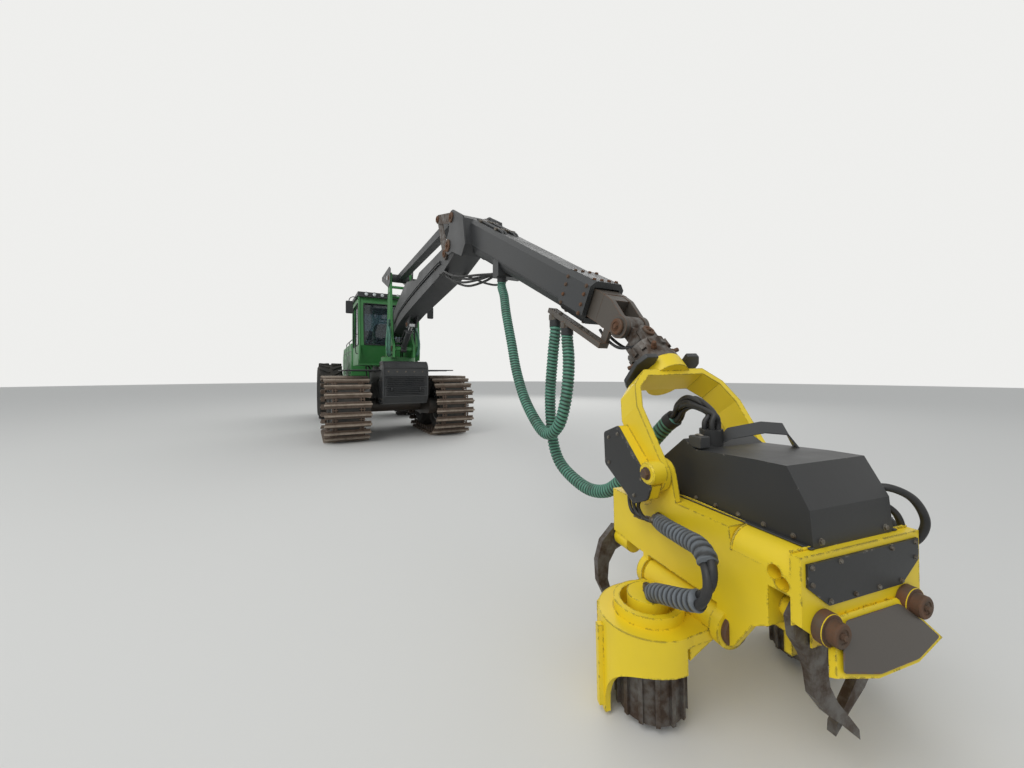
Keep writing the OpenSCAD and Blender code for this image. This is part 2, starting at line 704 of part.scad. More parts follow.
module extension_arm() {
    color("#6b5c50") on_axle() {
        difference() {
            union() {
                along_jib() {
                    translate([-2200, -ext_w / 2, -100]) cube([2300, ext_w, 200]);
                    translate([-2190, -ext_w / 2 - 2 + pin_fit, -102 + pin_fit])
                        cube([100, ext_w + 4 - 2 * pin_fit, 204 - 2 * pin_fit]);
                    side(ext_w - 4) polygon([[90, -98], [90, 98], [180, 84], [160, 0], [140, -98]]);
                    for (s = [-1, 1]) side(34, s * (ext_w / 2 - 18))
                        polygon([[95, -99], [95, 99], [180, 88], [346, 12], [300, -104], [180, -110]]);
                    translate([-430, -146, -228]) cube([695, 80, 38]);
                    translate([202, 3 - ext_w / 2, -224]) cube([58, 29, 128]);
                }
                for (s = [-1, 1]) across(tip_pin, 75, 36, s * (ext_w / 2 - 16.5));
                translate([bar_hose_x[0], hose_y, bar_hose_z[0]]) cylinder(r = 48, h = 50, $fn = 40);
                translate([bar_hose_x[1], hose_y, bar_hose_z[1]]) cylinder(r = 48, h = 50, $fn = 40);
            }
            across(tip_pin, 30, ext_w + 20);
        }
        across(tip_pin, 30, ext_w + 8);
    }
}

// Swing of the rotator about the cross pin, and turn of the head on the rotator
module swung() {
    at(cross_pin) rotate(a = side_turn, v = [-lean_down[1], 0, lean_down[0]]) at(-cross_pin) children();
}
module turned() {
    swung() at(tip_pin) rotate(a = head_turn, v = [lean_down[0], 0, lean_down[1]]) at(-tip_pin) children();
}

// Place down the leaning rotator from the tip pin: z is up the lean
module down_lean() {
    at(tip_pin) rotate([0, -rotator_lean, 0]) children();
}

module tip_link() {
    color(steel) on_axle() difference() {
        union() {
            across(tip_pin, 70, ext_w - 70 - 2 * run);
            down_lean() translate([-45, -50, -cross_pin_down])
                cube([90, 100, cross_pin_down]);
            down_lean() translate([-45, 0, -cross_pin_down]) rotate([0, 90, 0]) cylinder(r = 60, h = 90,
                $fn = 40);
        }
        across(tip_pin, 30 + pin_fit, ext_w);
        down_lean() translate([-50, 0, -cross_pin_down]) rotate([0, 90, 0]) cylinder(r = 28 + pin_fit, h =
            100, $fn = 40);
    }
}

module rotator_housing() {
    color(steel) on_axle() swung() down_lean() {
        difference() {
            union() {
                for (s = [-1, 1]) translate([s * 68, 0, -cross_pin_down]) rotate([0, 90, 0])
                    cylinder(r = 59, h = 34, center = true, $fn = 40);
                for (s = [-1, 1]) translate([s * 68 - 17, -59, -cross_pin_down - 90]) cube([34, 118, 90]);
                translate([0, 0, -rotor_down]) cylinder(r = 112, h = rotor_down - cross_pin_down - 80,
                    $fn = 64);
                translate([0, 0, -rotor_down]) cylinder(r = 128, h = 34, $fn = 64);
                for (i = [0 : 11]) rotate(30 * i) translate([100, -15, -cross_pin_down - 150])
                    cube([28, 30, 56]);
            }
            translate([-100, 0, -cross_pin_down]) rotate([0, 90, 0]) cylinder(r = 28, h = 200, $fn = 40);
        }
        translate([-85, 0, -cross_pin_down]) rotate([0, 90, 0]) cylinder(r = 28, h = 170, $fn = 40);
    }
}

module tilt_hoop() {
    w = hoop_half_w;
    color(yellow) on_axle() turned() {
        down_lean() translate([0, 0, -flange_down - 20])
            cylinder(r = 130, h = flange_down + 20 - rotor_down - seat, $fn = 64);
        difference() {
            union() {
                at(hoop_top) rotate([0, -hoop_deg, 0]) rotate([90, 0, 90]) linear_extrude(160, center = true)
                    polygon([[-w, -hoop_len], [-w, -190], [45 - w, -60], [140 - w, 30], [w - 140, 30],
                        [w - 45, -60],
                        [w, -190], [w, -hoop_len], [w - 35, -hoop_len], [w - 35, -196], [w - 76, -78],
                            [w - 154, -8],
                        [154 - w, -8], [76 - w, -78], [35 - w, -196], [35 - w, -hoop_len]]);
                for (s = [-1, 1]) across(hoop_pin, 80, 35, s * (w - 17.5));
                for (s = [-1, 1]) side(58, s * (w + 28)) polygon([[8159, 1141], [8291, 1192], [8547, 948],
                    [8518, 880], [8413, 830], [8164, 972]]);
            }
            across(hoop_pin, 35 + pin_fit, 2 * w);
        }
    }
}

module head_frame() {
    w = head_half_w;
    color(yellow) on_axle() turned() {
        difference() {
            union() {
                side(430) polygon([[8080, 840], [8080, 560], [8300, 545], [9110, 545], [9110, head_deck_z],
                    [8400, head_deck_z], [8300, 840]]);
                side(2 * w) polygon([[8080, 800], [8080, 560], [8300, 545], [8960, 545], [9110, 640],
                    [9110, 790],
                    [8880, 790], [8870, head_deck_z], [8500, head_deck_z], [8380, 800]]);
                for (s = [-1, 1]) translate([8880, s * (w - 85), head_deck_z - 85]) {
                    rotate([0, 90, 0]) cylinder(r = 84.5, h = 230, $fn = 48);
                    rotate([0, 90, 0]) rotate_extrude($fn = 48) polygon([[0, 0], [84.5, 0], [70, -34],
                        [40, -56], [0, -64]]);
                }
                for (s = [-1, 1]) side(30, s * (w - 15))
                    polygon([[8846, 560], [8846, 400], [8880, 415], [8960, 545], [8960, 560]]);
            }
            translate([front_knife_x[0] - run, -400, 0]) cube([end_plate_x[0] - front_knife_x[0] + run,
                800, 730]);
            for (s = [-1, 1], o = [-13, 13]) across([9063 + o, 771 - o], 26, 120, s * w);
        }
        translate([end_plate_x[0], 0, 0]) rotate([90, 0, 90]) linear_extrude(end_plate_x[1] - end_plate_x[0])
            polygon([[-w, head_deck_z], [w, head_deck_z], [w, 650], [216, 590], [-216, 590], [-w, 650]]);
        for (s = [-1, 1]) translate([9000, s * front_knife_pin[0], front_knife_pin[1]]) rotate([0, 90, 0]) {
            cylinder(r = 38, h = 190, $fn = 40);
            translate([0, 0, 141]) cylinder(r = 52, h = 30, $fn = 40);
        }
        // Fixed top knife, leaning out ahead of the end plate
        translate([end_plate_x[1] - 8, 0, 640]) rotate([0, -28, 0]) rotate([90, 0, 90]) linear_extrude(24)
            polygon([[-150, 10], [150, 10], [215, -60], [265, -130], [100, -165], [-100, -165],
                [-265, -130], [-215, -60]]);
        for (s = [-1, 1]) translate([8985, s * 160 - 16, 443]) cube([30, 32, 103]);
        for (s = [-1, 1]) translate([arm_x[0] - run - e, s * arm_pin[0], arm_pin[1]]) rotate([0, 90, 0])
            cylinder(r = 35, h = arm_x[1] - arm_x[0] + 2 * run + 2 * e, $fn = 40);
        for (s = [-1, 1], x = [arm_x[0] - run - 40, arm_x[1] + run]) translate([x, s * arm_pin[0],
            arm_pin[1]]) {
            rotate([0, 90, 0]) cylinder(r = 80, h = 40, $fn = 40);
            translate([0, s > 0 ? -80 : -38, 0]) cube([40, 118, 100]);
        }
        for (s = [-1, 1]) side(30, s * (w - 15)) hull() {
            translate(hoop_pin) circle(70, $fn = 32);
            translate([8500, 850]) circle(90, $fn = 32);
        }
        for (s = [-1, 1]) across(hoop_pin, 35, hoop_half_w - 1 - w + 30, s * (hoop_half_w - 1 + w - 30) / 2);
        for (s = [-1, 1]) translate([8030, s * rear_knife_pin[0], rear_knife_pin[1]]) rotate([0, 90, 0]) {
            cylinder(r = 30, h = 60, $fn = 40);
            translate([0, 0, 50]) cylinder(r = 50, h = 120, $fn = 40);
        }
    }
}

module head_hood() {
    color(dark) on_axle() turned() {
        side(410) polygon([[8440, head_deck_z + seat], [8400, 1040], [8540, 1150], [8610, 1112],
            [8909, 1129],
            [9030, 1131], [9105, 997], [9115, head_deck_z + seat]]);
        translate([hood_port[0], hood_port[1], 1110]) cylinder(r = 52, h = hood_port[2] - 1110, $fn = 40);
        // Black panel on the end plate
        translate([end_plate_x[1] + seat, 0, 0]) rotate([90, 0, 90]) linear_extrude(8)
            polygon([[-280, 850], [280, 850], [280, 775], [185, 702], [-185, 702], [-280, 775]]);
    }
}

module saw_box() {
    color(yellow) on_axle() turned() translate([7960, -180, 470]) cube([120 - seat, 360, 250]);
}

// Feed arm: pivot tube, deck with the motor's hole, and a skirt round the outer half of the roller
module feed_arm(s) {
    color(yellow) on_axle() turned() sided(s) {
        difference() {
            union() {
                translate([arm_x[0], arm_pin[0], arm_pin[1]]) rotate([0, 90, 0])
                    cylinder(r = 72, h = arm_x[1] - arm_x[0], $fn = 40);
                translate([0, 0, 396]) linear_extrude(44) difference() {
                    union() {
                        translate(roller_mid) circle(212, $fn = 64);
                        polygon([[arm_x[0], 290], [arm_x[1], 290], [arm_x[1] + 6, 430], [arm_x[0] - 2,
                            430]]);
                    }
                    translate(roller_mid) circle(118, $fn = 64);
                }
                translate([0, 0, 439]) linear_extrude(46) translate(roller_mid) difference() {
                    circle(146, $fn = 64);
                    circle(118, $fn = 64);
                }
                difference() {
                    translate([0, 0, 32]) linear_extrude(365) translate(roller_mid) difference() {
                        circle(212, $fn = 64);
                        circle(186, $fn = 64);
                        translate([-300, -320]) square([600, 300]);
                    }
                    across([roller_mid[0] + 215, 60], 235, 1500);
                }
                for (a = [100, 145]) translate([roller_mid[0], roller_mid[1], 60]) rotate(a)
                    translate([205, -14, 0]) cube([30, 28, 340]);
                for (x = [arm_x[0], arm_x[1] - 30]) translate([x, 0, 0]) rotate([90, 0, 90])
                    linear_extrude(30)
                    polygon([[300, 400], [430, 400], [430, 340], [330, 390]]);
            }
            translate([arm_x[0] - 1, arm_pin[0], arm_pin[1]]) rotate([0, 90, 0])
                cylinder(r = 35 + pin_fit, h = 1000, $fn = 40);
        }
        translate([roller_mid[0], roller_mid[1], 385]) cylinder(r = 124, h = 20, $fn = 48);
        translate([roller_mid[0], roller_mid[1], 385]) cylinder(r = 88, h = 125, $fn = 48);
    }
}

module feed_roller(s) {
    color("#2a2a2a") on_axle() turned() sided(s) translate([roller_mid[0], roller_mid[1], 45]) {
        cylinder(r = 136, h = 290, $fn = 48);
        translate([0, 0, 10]) cylinder(r = 45, h = 385 - 55 - seat, $fn = 48);
        for (i = [0 : 13]) rotate(i * 360 / 14) translate([128, -9, 4]) cube([22, 18, 282]);
    }
}

// Curved delimbing knife in end view; the left one passes behind the right one
module front_knife(s) {
    color("#5b4a3c") on_axle() turned() sided(s) difference() {
        translate([front_knife_x[s > 0 ? 0 : 1], 0, 0]) rotate([90, 0, 90]) linear_extrude(knife_t)
            polygon([[285, 650], [275, 580], [228, 510], [204, 450], [190, 364], [125, 285], [48, 225],
                [-34, 152],
                [-30, 190], [20, 250], [75, 315], [112, 380], [122, 450], [130, 560], [140, 660],
                    [180, 708], [238, 710]]);
        translate([9000, front_knife_pin[0], front_knife_pin[1]]) rotate([0, 90, 0])
            cylinder(r = 38 + pin_fit, h = 200, $fn = 40);
    }
}

module rear_knife(s) {
    color("#5b4a3c") on_axle() turned() sided(s) difference() {
        translate([8034, 0, 0]) rotate([90, 0, 90]) linear_extrude(knife_t + 10)
            polygon([[200, 560], [290, 580],
            [375, 500], [410, 390], [405, 270], [350, 150], [250, 70], [320, 190], [345, 280], [335, 370],
            [290, 440], [205, 475]]);
        translate([8000, rear_knife_pin[0], rear_knife_pin[1]]) rotate([0, 90, 0])
            cylinder(r = 30 + pin_fit, h = 100, $fn = 40);
    }
}

// Round hose along hand-chosen points, r thick with n sides
function spline(p, i, t) = let (n = len(p), a = p[max(i - 1, 0)], b = p[i], c = p[i + 1], d =
    p[min(i + 2, n - 1)])
    0.5 * ((2 * b) + (c - a) * t + (2 * a - 5 * b + 4 * c - d) * t * t + (3 * b - a - 3 * c + d)
        * t * t * t);
function route(p, per) = [for (i = [0 : len(p) - 2]) for (k = [0 : per - 1]) spline(p, i, k / per),
    p[len(p) - 1]];
function unit(v) = v / norm(v);

// r thick, and r_end over its last tail rings
module hose(points, r, r_end, tail, per = 5, n = 10) {
    q = route(points, per);
    m = len(q);
    rings = [for (i = [0 : m - 1])
        let (t = unit(q[min(i + 1, m - 1)] - q[max(i - 1, 0)]), u = unit(cross(t, [0.03, 1, 0.02])), v =
            cross(t, u),
            a = i < m - tail ? r : r_end)
        for (k = [0 : n - 1]) q[i] + a * (cos(360 * k / n) * u + sin(360 * k / n) * v)];
    polyhedron(rings, concat(
        [[for (k = [0 : n - 1]) n - 1 - k]],
        [for (i = [0 : m - 2]) for (k = [0 : n - 1])
            [i * n + k, i * n + (k + 1) % n, (i + 1) * n + (k + 1) % n, (i + 1) * n + k]],
        [[for (k = [0 : n - 1]) (m - 1) * n + k]]));
}

loop_pts = [[6150, -80, 2449.5], [6150, -80, 2410], [6150, -80, 2350], [6235, -95, 2240], [6340, -125, 2050],
    [6490, -145, 1745], [6620, -160, 1470], [6810, -178, 1218], [7060, -190, 1020], [7210, -192, 985],
    [7330, -185, 1070], [7385, -172, 1220], [7395, -150, 1400], [7365, -122, 1570], [7327, -106, 1700],
    [7325, -106, 1760], [7325, -106, 1799.5]];
head_pts = [[7166, -106, 1879.5], [7166, -106, 1840], [7164, -106, 1780], [7125, -102, 1600],
    [7050, -78, 1240],
    [7060, -62, 930], [7140, -60, 762], [7290, -60, 672], [7515, -60, 620], [7707, -60, 655],
        [7849, -60, 755],
    [7970, -60, 890], [8090, -60, 1040], [8211, -60, 1169], [8345, -62, 1262], [8532, -155, 1302],
        [8544, -154, 1252], [8545, -153, 1192.5]];

module hose_loop() { color("#2f5a4a") on_axle() hose(loop_pts, 45, 45, 0); }
module hose_head() { color("#2f5a4a") on_axle() hose(head_pts, 45, 32, 16); }

front_frame();
front_guard();
bogie_case(1);  // bogie_case_left
bogie_case(-1);  // bogie_case_right
bogie_rims(1);  // bogie_rims_left
bogie_rims(-1);  // bogie_rims_right
bogie_tyres(1);  // bogie_tyres_left
bogie_tyres(-1);  // bogie_tyres_right
track(1);  // track_left
track(-1);  // track_right
steer_barrel(1);  // steer_barrel_left
steer_barrel(-1);  // steer_barrel_right
steer_rod(1);  // steer_rod_left
steer_rod(-1);  // steer_rod_right
rear_frame();
engine_block();
engine_hood();
radiator_grille();
rear_bumper();
rear_rim(1);  // rear_rim_left
rear_rim(-1);  // rear_rim_right
rear_tyre(1);  // rear_tyre_left
rear_tyre(-1);  // rear_tyre_right
cab_base();
cab_shell();
cab_roof();
cab_panes();
cab_seat();
roof_lamps();
cab_door();
door_pane();
crane_pillar();
bar_guard_plate();
main_boom();
lift_barrel();
lift_rod();
link_bar();
knee_rocker();
knee_link();
outer_boom();
extension_arm();
tip_link();
rotator_housing();
tilt_hoop();
head_frame();
head_hood();
saw_box();
feed_arm(1);  // feed_arm_left
feed_arm(-1);  // feed_arm_right
feed_roller(1);  // feed_roller_left
feed_roller(-1);  // feed_roller_right
front_knife(1);  // front_knife_left
front_knife(-1);  // front_knife_right
rear_knife(1);  // rear_knife_left
rear_knife(-1);  // rear_knife_right
hose_loop();
hose_head();
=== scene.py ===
# %% [markdown]
# # A six-wheeled forestry harvester
# A forestry harvester fells a tree, strips its branches and cuts it into lengths. It rolls on two tracked
# bogies in front and two large tyres behind, and a jointed crane carries the working head. The solids come
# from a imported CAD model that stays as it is. This lesson adds what a CAD model leaves out: finishes, small
# parts and wear. Everything is in metres: +X ahead, +Y to the machine's left, +Z up.

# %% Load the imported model
import math

import bmesh
import bpy
import numpy as np
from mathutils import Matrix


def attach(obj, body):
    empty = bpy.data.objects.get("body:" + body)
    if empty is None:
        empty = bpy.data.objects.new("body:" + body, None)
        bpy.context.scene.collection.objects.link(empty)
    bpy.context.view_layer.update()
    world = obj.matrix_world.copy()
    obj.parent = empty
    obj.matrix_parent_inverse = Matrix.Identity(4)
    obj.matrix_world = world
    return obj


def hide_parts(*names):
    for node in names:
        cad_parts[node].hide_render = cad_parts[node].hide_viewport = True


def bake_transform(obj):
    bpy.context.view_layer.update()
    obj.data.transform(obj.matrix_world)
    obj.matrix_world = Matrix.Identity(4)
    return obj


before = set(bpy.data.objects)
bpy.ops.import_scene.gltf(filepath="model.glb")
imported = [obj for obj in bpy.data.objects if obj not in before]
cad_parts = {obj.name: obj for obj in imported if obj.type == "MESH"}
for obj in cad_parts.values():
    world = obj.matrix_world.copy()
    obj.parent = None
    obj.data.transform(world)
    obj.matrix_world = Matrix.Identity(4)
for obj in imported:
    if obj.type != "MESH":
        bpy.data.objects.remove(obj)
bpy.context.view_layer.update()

# %% [markdown]
# ## The view
# The photograph was taken with a very wide lens, level, from the machine's front right at a person's chest
# height. Its horizon lies a little above the picture's middle, so the lens is shifted down by as much.

# %% Camera
AXLE_X = -1.64                      # front bogie axle
IMAGE_W = 1024
FOCAL_PX = 384.53
HORIZON_UP_PX = 10.87
CAMERA_AT = (AXLE_X + 9.723, -1.86, 1.458)
CAMERA_YAW = 28.015                 # degrees from looking straight back at the machine

camera = bpy.data.objects.new("photo_camera", bpy.data.cameras.new("photo_camera"))
bpy.context.scene.collection.objects.link(camera)
camera.location = CAMERA_AT
camera.rotation_euler = (math.pi / 2, 0, math.pi / 2 - math.radians(CAMERA_YAW))
camera.data.sensor_width = 36
camera.data.lens = 36 * FOCAL_PX / IMAGE_W
camera.data.shift_y = -HORIZON_UP_PX / IMAGE_W
camera.data.clip_start = 0.05
bpy.context.scene.camera = camera
print("lens", round(camera.data.lens, 2), "mm")

# %% [markdown]
# ## One way to write a material
# A colour is written as the hex value that a painter would pick on screen and turned to linear light by one
# function. One small function adds a shader node, sets its values and links its inputs.

# %% Colour and node helpers
def linear(hex_colour):
    """sRGB hex to linear RGBA: each channel c becomes c/12.92 below 0.04045, else ((c+0.055)/1.055)^2.4."""
    c = np.array([int(hex_colour[i:i + 2], 16) for i in (1, 3, 5)]) / 255
    return (*np.where(c <= 0.04045, c / 12.92, ((c + 0.055) / 1.055) ** 2.4).tolist(), 1.0)


def add(tree, kind, values=None, links=None, **settings):
    """Adds one shader node. settings are its attributes, values its inputs' values, and links the sockets
    that feed its inputs."""
    node = tree.nodes.new("ShaderNode" + kind)
    for name, value in settings.items():
        setattr(node, name, value)
    for name, value in (values or {}).items():
        node.inputs[name].default_value = value
    for name, source in (links or {}).items():
        tree.links.new(source, node.inputs[name])
    return node


def new_material(name):
    """An empty material with its tree, its output node and the Object coordinates that patterns read."""
    material = bpy.data.materials.new(name)
    material.use_nodes = True
    tree = material.node_tree
    tree.nodes.clear()
    return material, tree, add(tree, "OutputMaterial"), add(tree, "TexCoord").outputs["Object"]


def steps(tree, source, low, high, to_low=0.0, to_high=1.0):
    """Clamped straight line from to_low at low to to_high at high."""
    return add(tree, "MapRange", {"From Min": low, "From Max": high, "To Min": to_low, "To Max": to_high},
               {"Value": source}).outputs["Result"]


def bumped(tree, shader, out, height, strength, distance):
    """Bumps a shader by height, as deep as distance in metres, and links it to the material's output."""
    bump = add(tree, "Bump", {"Strength": strength, "Distance": distance}, {"Height": height})
    tree.links.new(bump.outputs[0], shader.inputs["Normal"])
    tree.links.new(shader.outputs[0], out.inputs[0])


def mixed(tree, factor, a, b):
    """Colour a where factor is 0 and b where it is 1; each is a socket or a hex colour."""
    node = add(tree, "Mix", data_type="RGBA")
    tree.links.new(factor, node.inputs[0])
    for socket, colour in ((node.inputs[6], a), (node.inputs[7], b)):
        if isinstance(colour, str):
            socket.default_value = linear(colour)
        else:
            tree.links.new(colour, socket)
    return node.outputs[2]

# %% [markdown]
# ## Studio
# A pale floor and an even, soft light at a plain level let each colour render about as it is written. What
# the camera, gloss and glass see around the machine is plain white, and it adds no light to the object.

# %% Floor, world and lamps
FLOOR_R = 60
KEY = ("key", (9, -9, 11), (1, 0, 1.2), 9, 900)          # name, place, aim, size in metres, watts
FILL = ("fill", (-9, 10, 9), (-1, 0, 1.2), 9, 500)


def studio():
    """The floor disc, the world's even light and two broad soft lamps high up on either side."""
    angle = np.linspace(0, 2 * math.pi, 97)[:-1]
    ring = np.stack([FLOOR_R * np.cos(angle), FLOOR_R * np.sin(angle), 0 * angle], axis=1)
    mesh = bpy.data.meshes.new("floor")
    mesh.from_pydata(ring.tolist(), [], [list(range(len(ring)))])
    floor = bpy.data.objects.new("floor", mesh)
    bpy.context.scene.collection.objects.link(floor)
    material, tree, out, _ = new_material("pale_studio_floor")
    paint = add(tree, "BsdfPrincipled", {"Base Color": linear("#D9D8D4"), "Roughness": 0.9})
    tree.links.new(paint.outputs[0], out.inputs[0])
    floor.data.materials.append(material)

    world = bpy.data.worlds.new("studio")
    bpy.context.scene.world = world
    world.use_nodes = True
    tree = world.node_tree
    tree.nodes.clear()
    light = add(tree, "Background", {"Color": linear("#EEF2F6"), "Strength": 0.62})
    white = add(tree, "Background", {"Color": linear("#F4F4F2"), "Strength": 0.95})
    path = add(tree, "LightPath").outputs
    seen = add(tree, "Math", links={0: path["Is Camera Ray"], 1: path["Is Glossy Ray"]}, operation="MAXIMUM")
    seen = add(tree, "Math", links={0: seen.outputs[0], 1: path["Is Transmission Ray"]}, operation="MAXIMUM")
    both = add(tree, "MixShader", links={0: seen.outputs[0], 1: light.outputs[0], 2: white.outputs[0]})
    tree.links.new(both.outputs[0], add(tree, "OutputWorld").inputs[0])

    for name, place, aim, size, power in (KEY, FILL):
        lamp = bpy.data.objects.new(name, bpy.data.lights.new(name, "AREA"))
        bpy.context.scene.collection.objects.link(lamp)
        lamp.data.size, lamp.data.energy = size, power
        lamp.location = place
        away = np.subtract(place, aim)
        lamp.rotation_euler = (math.atan2(math.hypot(away[0], away[1]), away[2]), 0,
                               math.atan2(away[0], -away[1]))


studio()
bpy.context.scene.view_settings.view_transform = "Standard"
print("studio ready")

# %% [markdown]
# ## Painted, worn metal
# Most of the machine is welded steel plate under sprayed enamel. Years of trunks and branches scrape the
# paint off the edges, and gravel dust lies on what is left. A Bevel node turns the normal near an edge, so
# comparing it with the true normal finds edges on any mesh; noise then breaks that line into chips.

# %% Enamel
def enamel(name, colour, under="#3A322B", dust="#8C8377", wear=0.5, dusty=0.3, rough=0.38, edge=0.012,
           mud=0.0):
    """Sprayed enamel on steel. under: what shows in chips. wear and dusty: how much of each, from 0 to 1.
    edge: how far a worn edge reaches, in metres. mud: how high mud has splashed, in metres."""
    material, tree, out, place = new_material(name)
    turned = add(tree, "Bevel", {"Radius": edge}, samples=3).outputs[0]
    true = add(tree, "NewGeometry").outputs["Normal"]
    same = add(tree, "VectorMath", links={0: turned, 1: true}, operation="DOT_PRODUCT").outputs["Value"]
    edges = steps(tree, same, 0.995, 0.86)
    chips = add(tree, "TexNoise", {"Scale": 38, "Detail": 6, "Roughness": 0.68}, {"Vector": place}).outputs[0]
    broad = add(tree, "TexNoise", {"Scale": 2.3, "Detail": 4, "Roughness": 0.6}, {"Vector": place}).outputs[0]
    reach = add(tree, "Math", links={0: chips, 1: edges}, operation="MULTIPLY").outputs[0]
    reach = add(tree, "Math", {1: 0.6}, {0: reach}, operation="MULTIPLY").outputs[0]
    reach = add(tree, "Math", links={0: reach, 1: steps(tree, chips, 0.60, 0.90, 0, 0.6)},
                operation="ADD").outputs[0]
    reach = add(tree, "Math", links={0: reach, 1: steps(tree, broad, 0.3, 0.7, 0, 0.22)},
                operation="ADD").outputs[0]
    bare = steps(tree, reach, 0.62 - 0.34 * wear, 0.66 - 0.34 * wear)
    dusting = steps(tree, broad, 0.35, 0.75, 0.15 * dusty, 0.75 * dusty)
    coat = mixed(tree, dusting, colour, dust)
    worn = mixed(tree, bare, coat, under)
    if mud:
        height = add(tree, "SeparateXYZ", links={0: place}).outputs["Z"]
        splash = add(tree, "Math", {1: -0.5}, {0: broad}, operation="ADD").outputs[0]
        splash = add(tree, "Math", {1: 1.2}, {0: splash}, operation="MULTIPLY").outputs[0]
        level = add(tree, "Math", links={0: height, 1: splash}, operation="ADD").outputs[0]
        worn = mixed(tree, steps(tree, level, mud, mud * 0.3, 0, 0.85), worn, "#5A4B3E")
    shader = add(tree, "BsdfPrincipled", {"IOR": 1.5}, {"Base Color": worn})
    gloss = add(tree, "Math", links={0: steps(tree, broad, 0.2, 0.8, rough - 0.05, rough + 0.2),
                                     1: steps(tree, bare, 0, 1, 0, 0.25)}, operation="ADD")
    tree.links.new(gloss.outputs[0], shader.inputs["Roughness"])
    height = add(tree, "Math", links={0: chips, 1: steps(tree, bare, 0, 1, 0.5, 0)},
                 operation="ADD").outputs[0]
    bumped(tree, shader, out, height, 0.25, 0.0015)
    return material


yellow_enamel = enamel("worn_yellow_enamel", "#F0D21C", under="#2E2A25", dust="#A8934A", wear=0.72,
                       dusty=0.35)
green_enamel = enamel("green_enamel", "#2F7D3C", under="#2A2C28", dust="#7D8873", wear=0.3, dusty=0.25)
black_enamel = enamel("black_enamel", "#25282B", under="#5C554D", dust="#5D5A55", wear=0.35, dusty=0.35)
crane_enamel = enamel("crane_grey_enamel", "#25282B", under="#4A443E", dust="#5E5C58", wear=0.3, dusty=0.35)
rust_enamel = enamel("rust_worn_enamel", "#4C4741", under="#6B4A34", dust="#5E554B", wear=0.75, dusty=0.4)
hood_enamel = enamel("scratched_black_enamel", "#1D1F21", under="#8A857C", dust="#47443F", wear=0.4,
                     dusty=0.3)
chassis_enamel = enamel("chassis_enamel", "#2A2D2E", under="#4A4038", dust="#6E665C", wear=0.3, dusty=0.5,
                        mud=0.9)
print("enamels made")

# %% [markdown]
# ## Bare metal, rubber, glass
# Pins and links are forged steel rubbed bright and rusted dull by turns. Band tracks are cast steel with a
# skin of rust and dried mud, polished where the bars meet the ground.

# %% Steel, rust, rubber and glass
def bare_steel(name, colour, rust, metallic, rough, scale=14.0):
    """Metal, rubber or plastic whose colour wanders between two values by noise at scale per metre."""
    material, tree, out, place = new_material(name)
    cloud = add(tree, "TexNoise", {"Scale": scale, "Detail": 7, "Roughness": 0.65},
                {"Vector": place}).outputs[0]
    fine = add(tree, "TexNoise", {"Scale": scale * 9, "Detail": 3}, {"Vector": place}).outputs[0]
    colours = mixed(tree, steps(tree, cloud, 0.38, 0.62), colour, rust)
    shader = add(tree, "BsdfPrincipled", {"Metallic": metallic}, {"Base Color": colours})
    tree.links.new(steps(tree, cloud, 0.3, 0.7, rough, min(rough + 0.3, 1)), shader.inputs["Roughness"])
    bumped(tree, shader, out, fine, 0.3, 0.001)
    return material


def glazing():
    """Tinted laminated glass: IOR 1.5, thin, with a little of the tint's grey."""
    material, tree, out, _ = new_material("tinted_safety_glass")
    shader = add(tree, "BsdfPrincipled", {"Base Color": linear("#6C7E86"), "Roughness": 0.03, "IOR": 1.5,
                                          "Transmission Weight": 0.9})
    tree.links.new(shader.outputs[0], out.inputs[0])
    return material


worn_steel = bare_steel("worn_forged_steel", "#6E6B67", "#4A3C32", 0.55, 0.42)
chrome = bare_steel("hard_chrome", "#D5D7D8", "#C4C6C8", 1.0, 0.08, 3.0)
track_steel = bare_steel("rusty_track_steel", "#5F4E40", "#3B2F27", 0.25, 0.6, 9.0)
rim_enamel = enamel("rim_enamel", "#8A8F90", under="#5A4A3C", dust="#7A7266", wear=0.3, dusty=0.5, mud=0.6)
tyre_rubber = bare_steel("tyre_rubber", "#232321", "#3E3A35", 0.0, 0.75, 6.0)
hose_sheath = bare_steel("green_hose_sheath", "#2E5546", "#223D33", 0.0, 0.55, 30.0)
seat_cloth = bare_steel("seat_cloth", "#2A2B2D", "#222325", 0.0, 0.9, 60.0)
lamp_glass = bare_steel("lamp_reflector", "#D8DCDD", "#B9BDBE", 0.6, 0.12, 5.0)
cast_iron = bare_steel("cast_engine_iron", "#5E625F", "#4A4A45", 0.3, 0.6)
window_glass = glazing()
print("materials", len(bpy.data.materials))

# %% [markdown]
# ## Finishes on the CAD nodes
# Each solid keeps its shape and takes the finish that it has in the photograph.

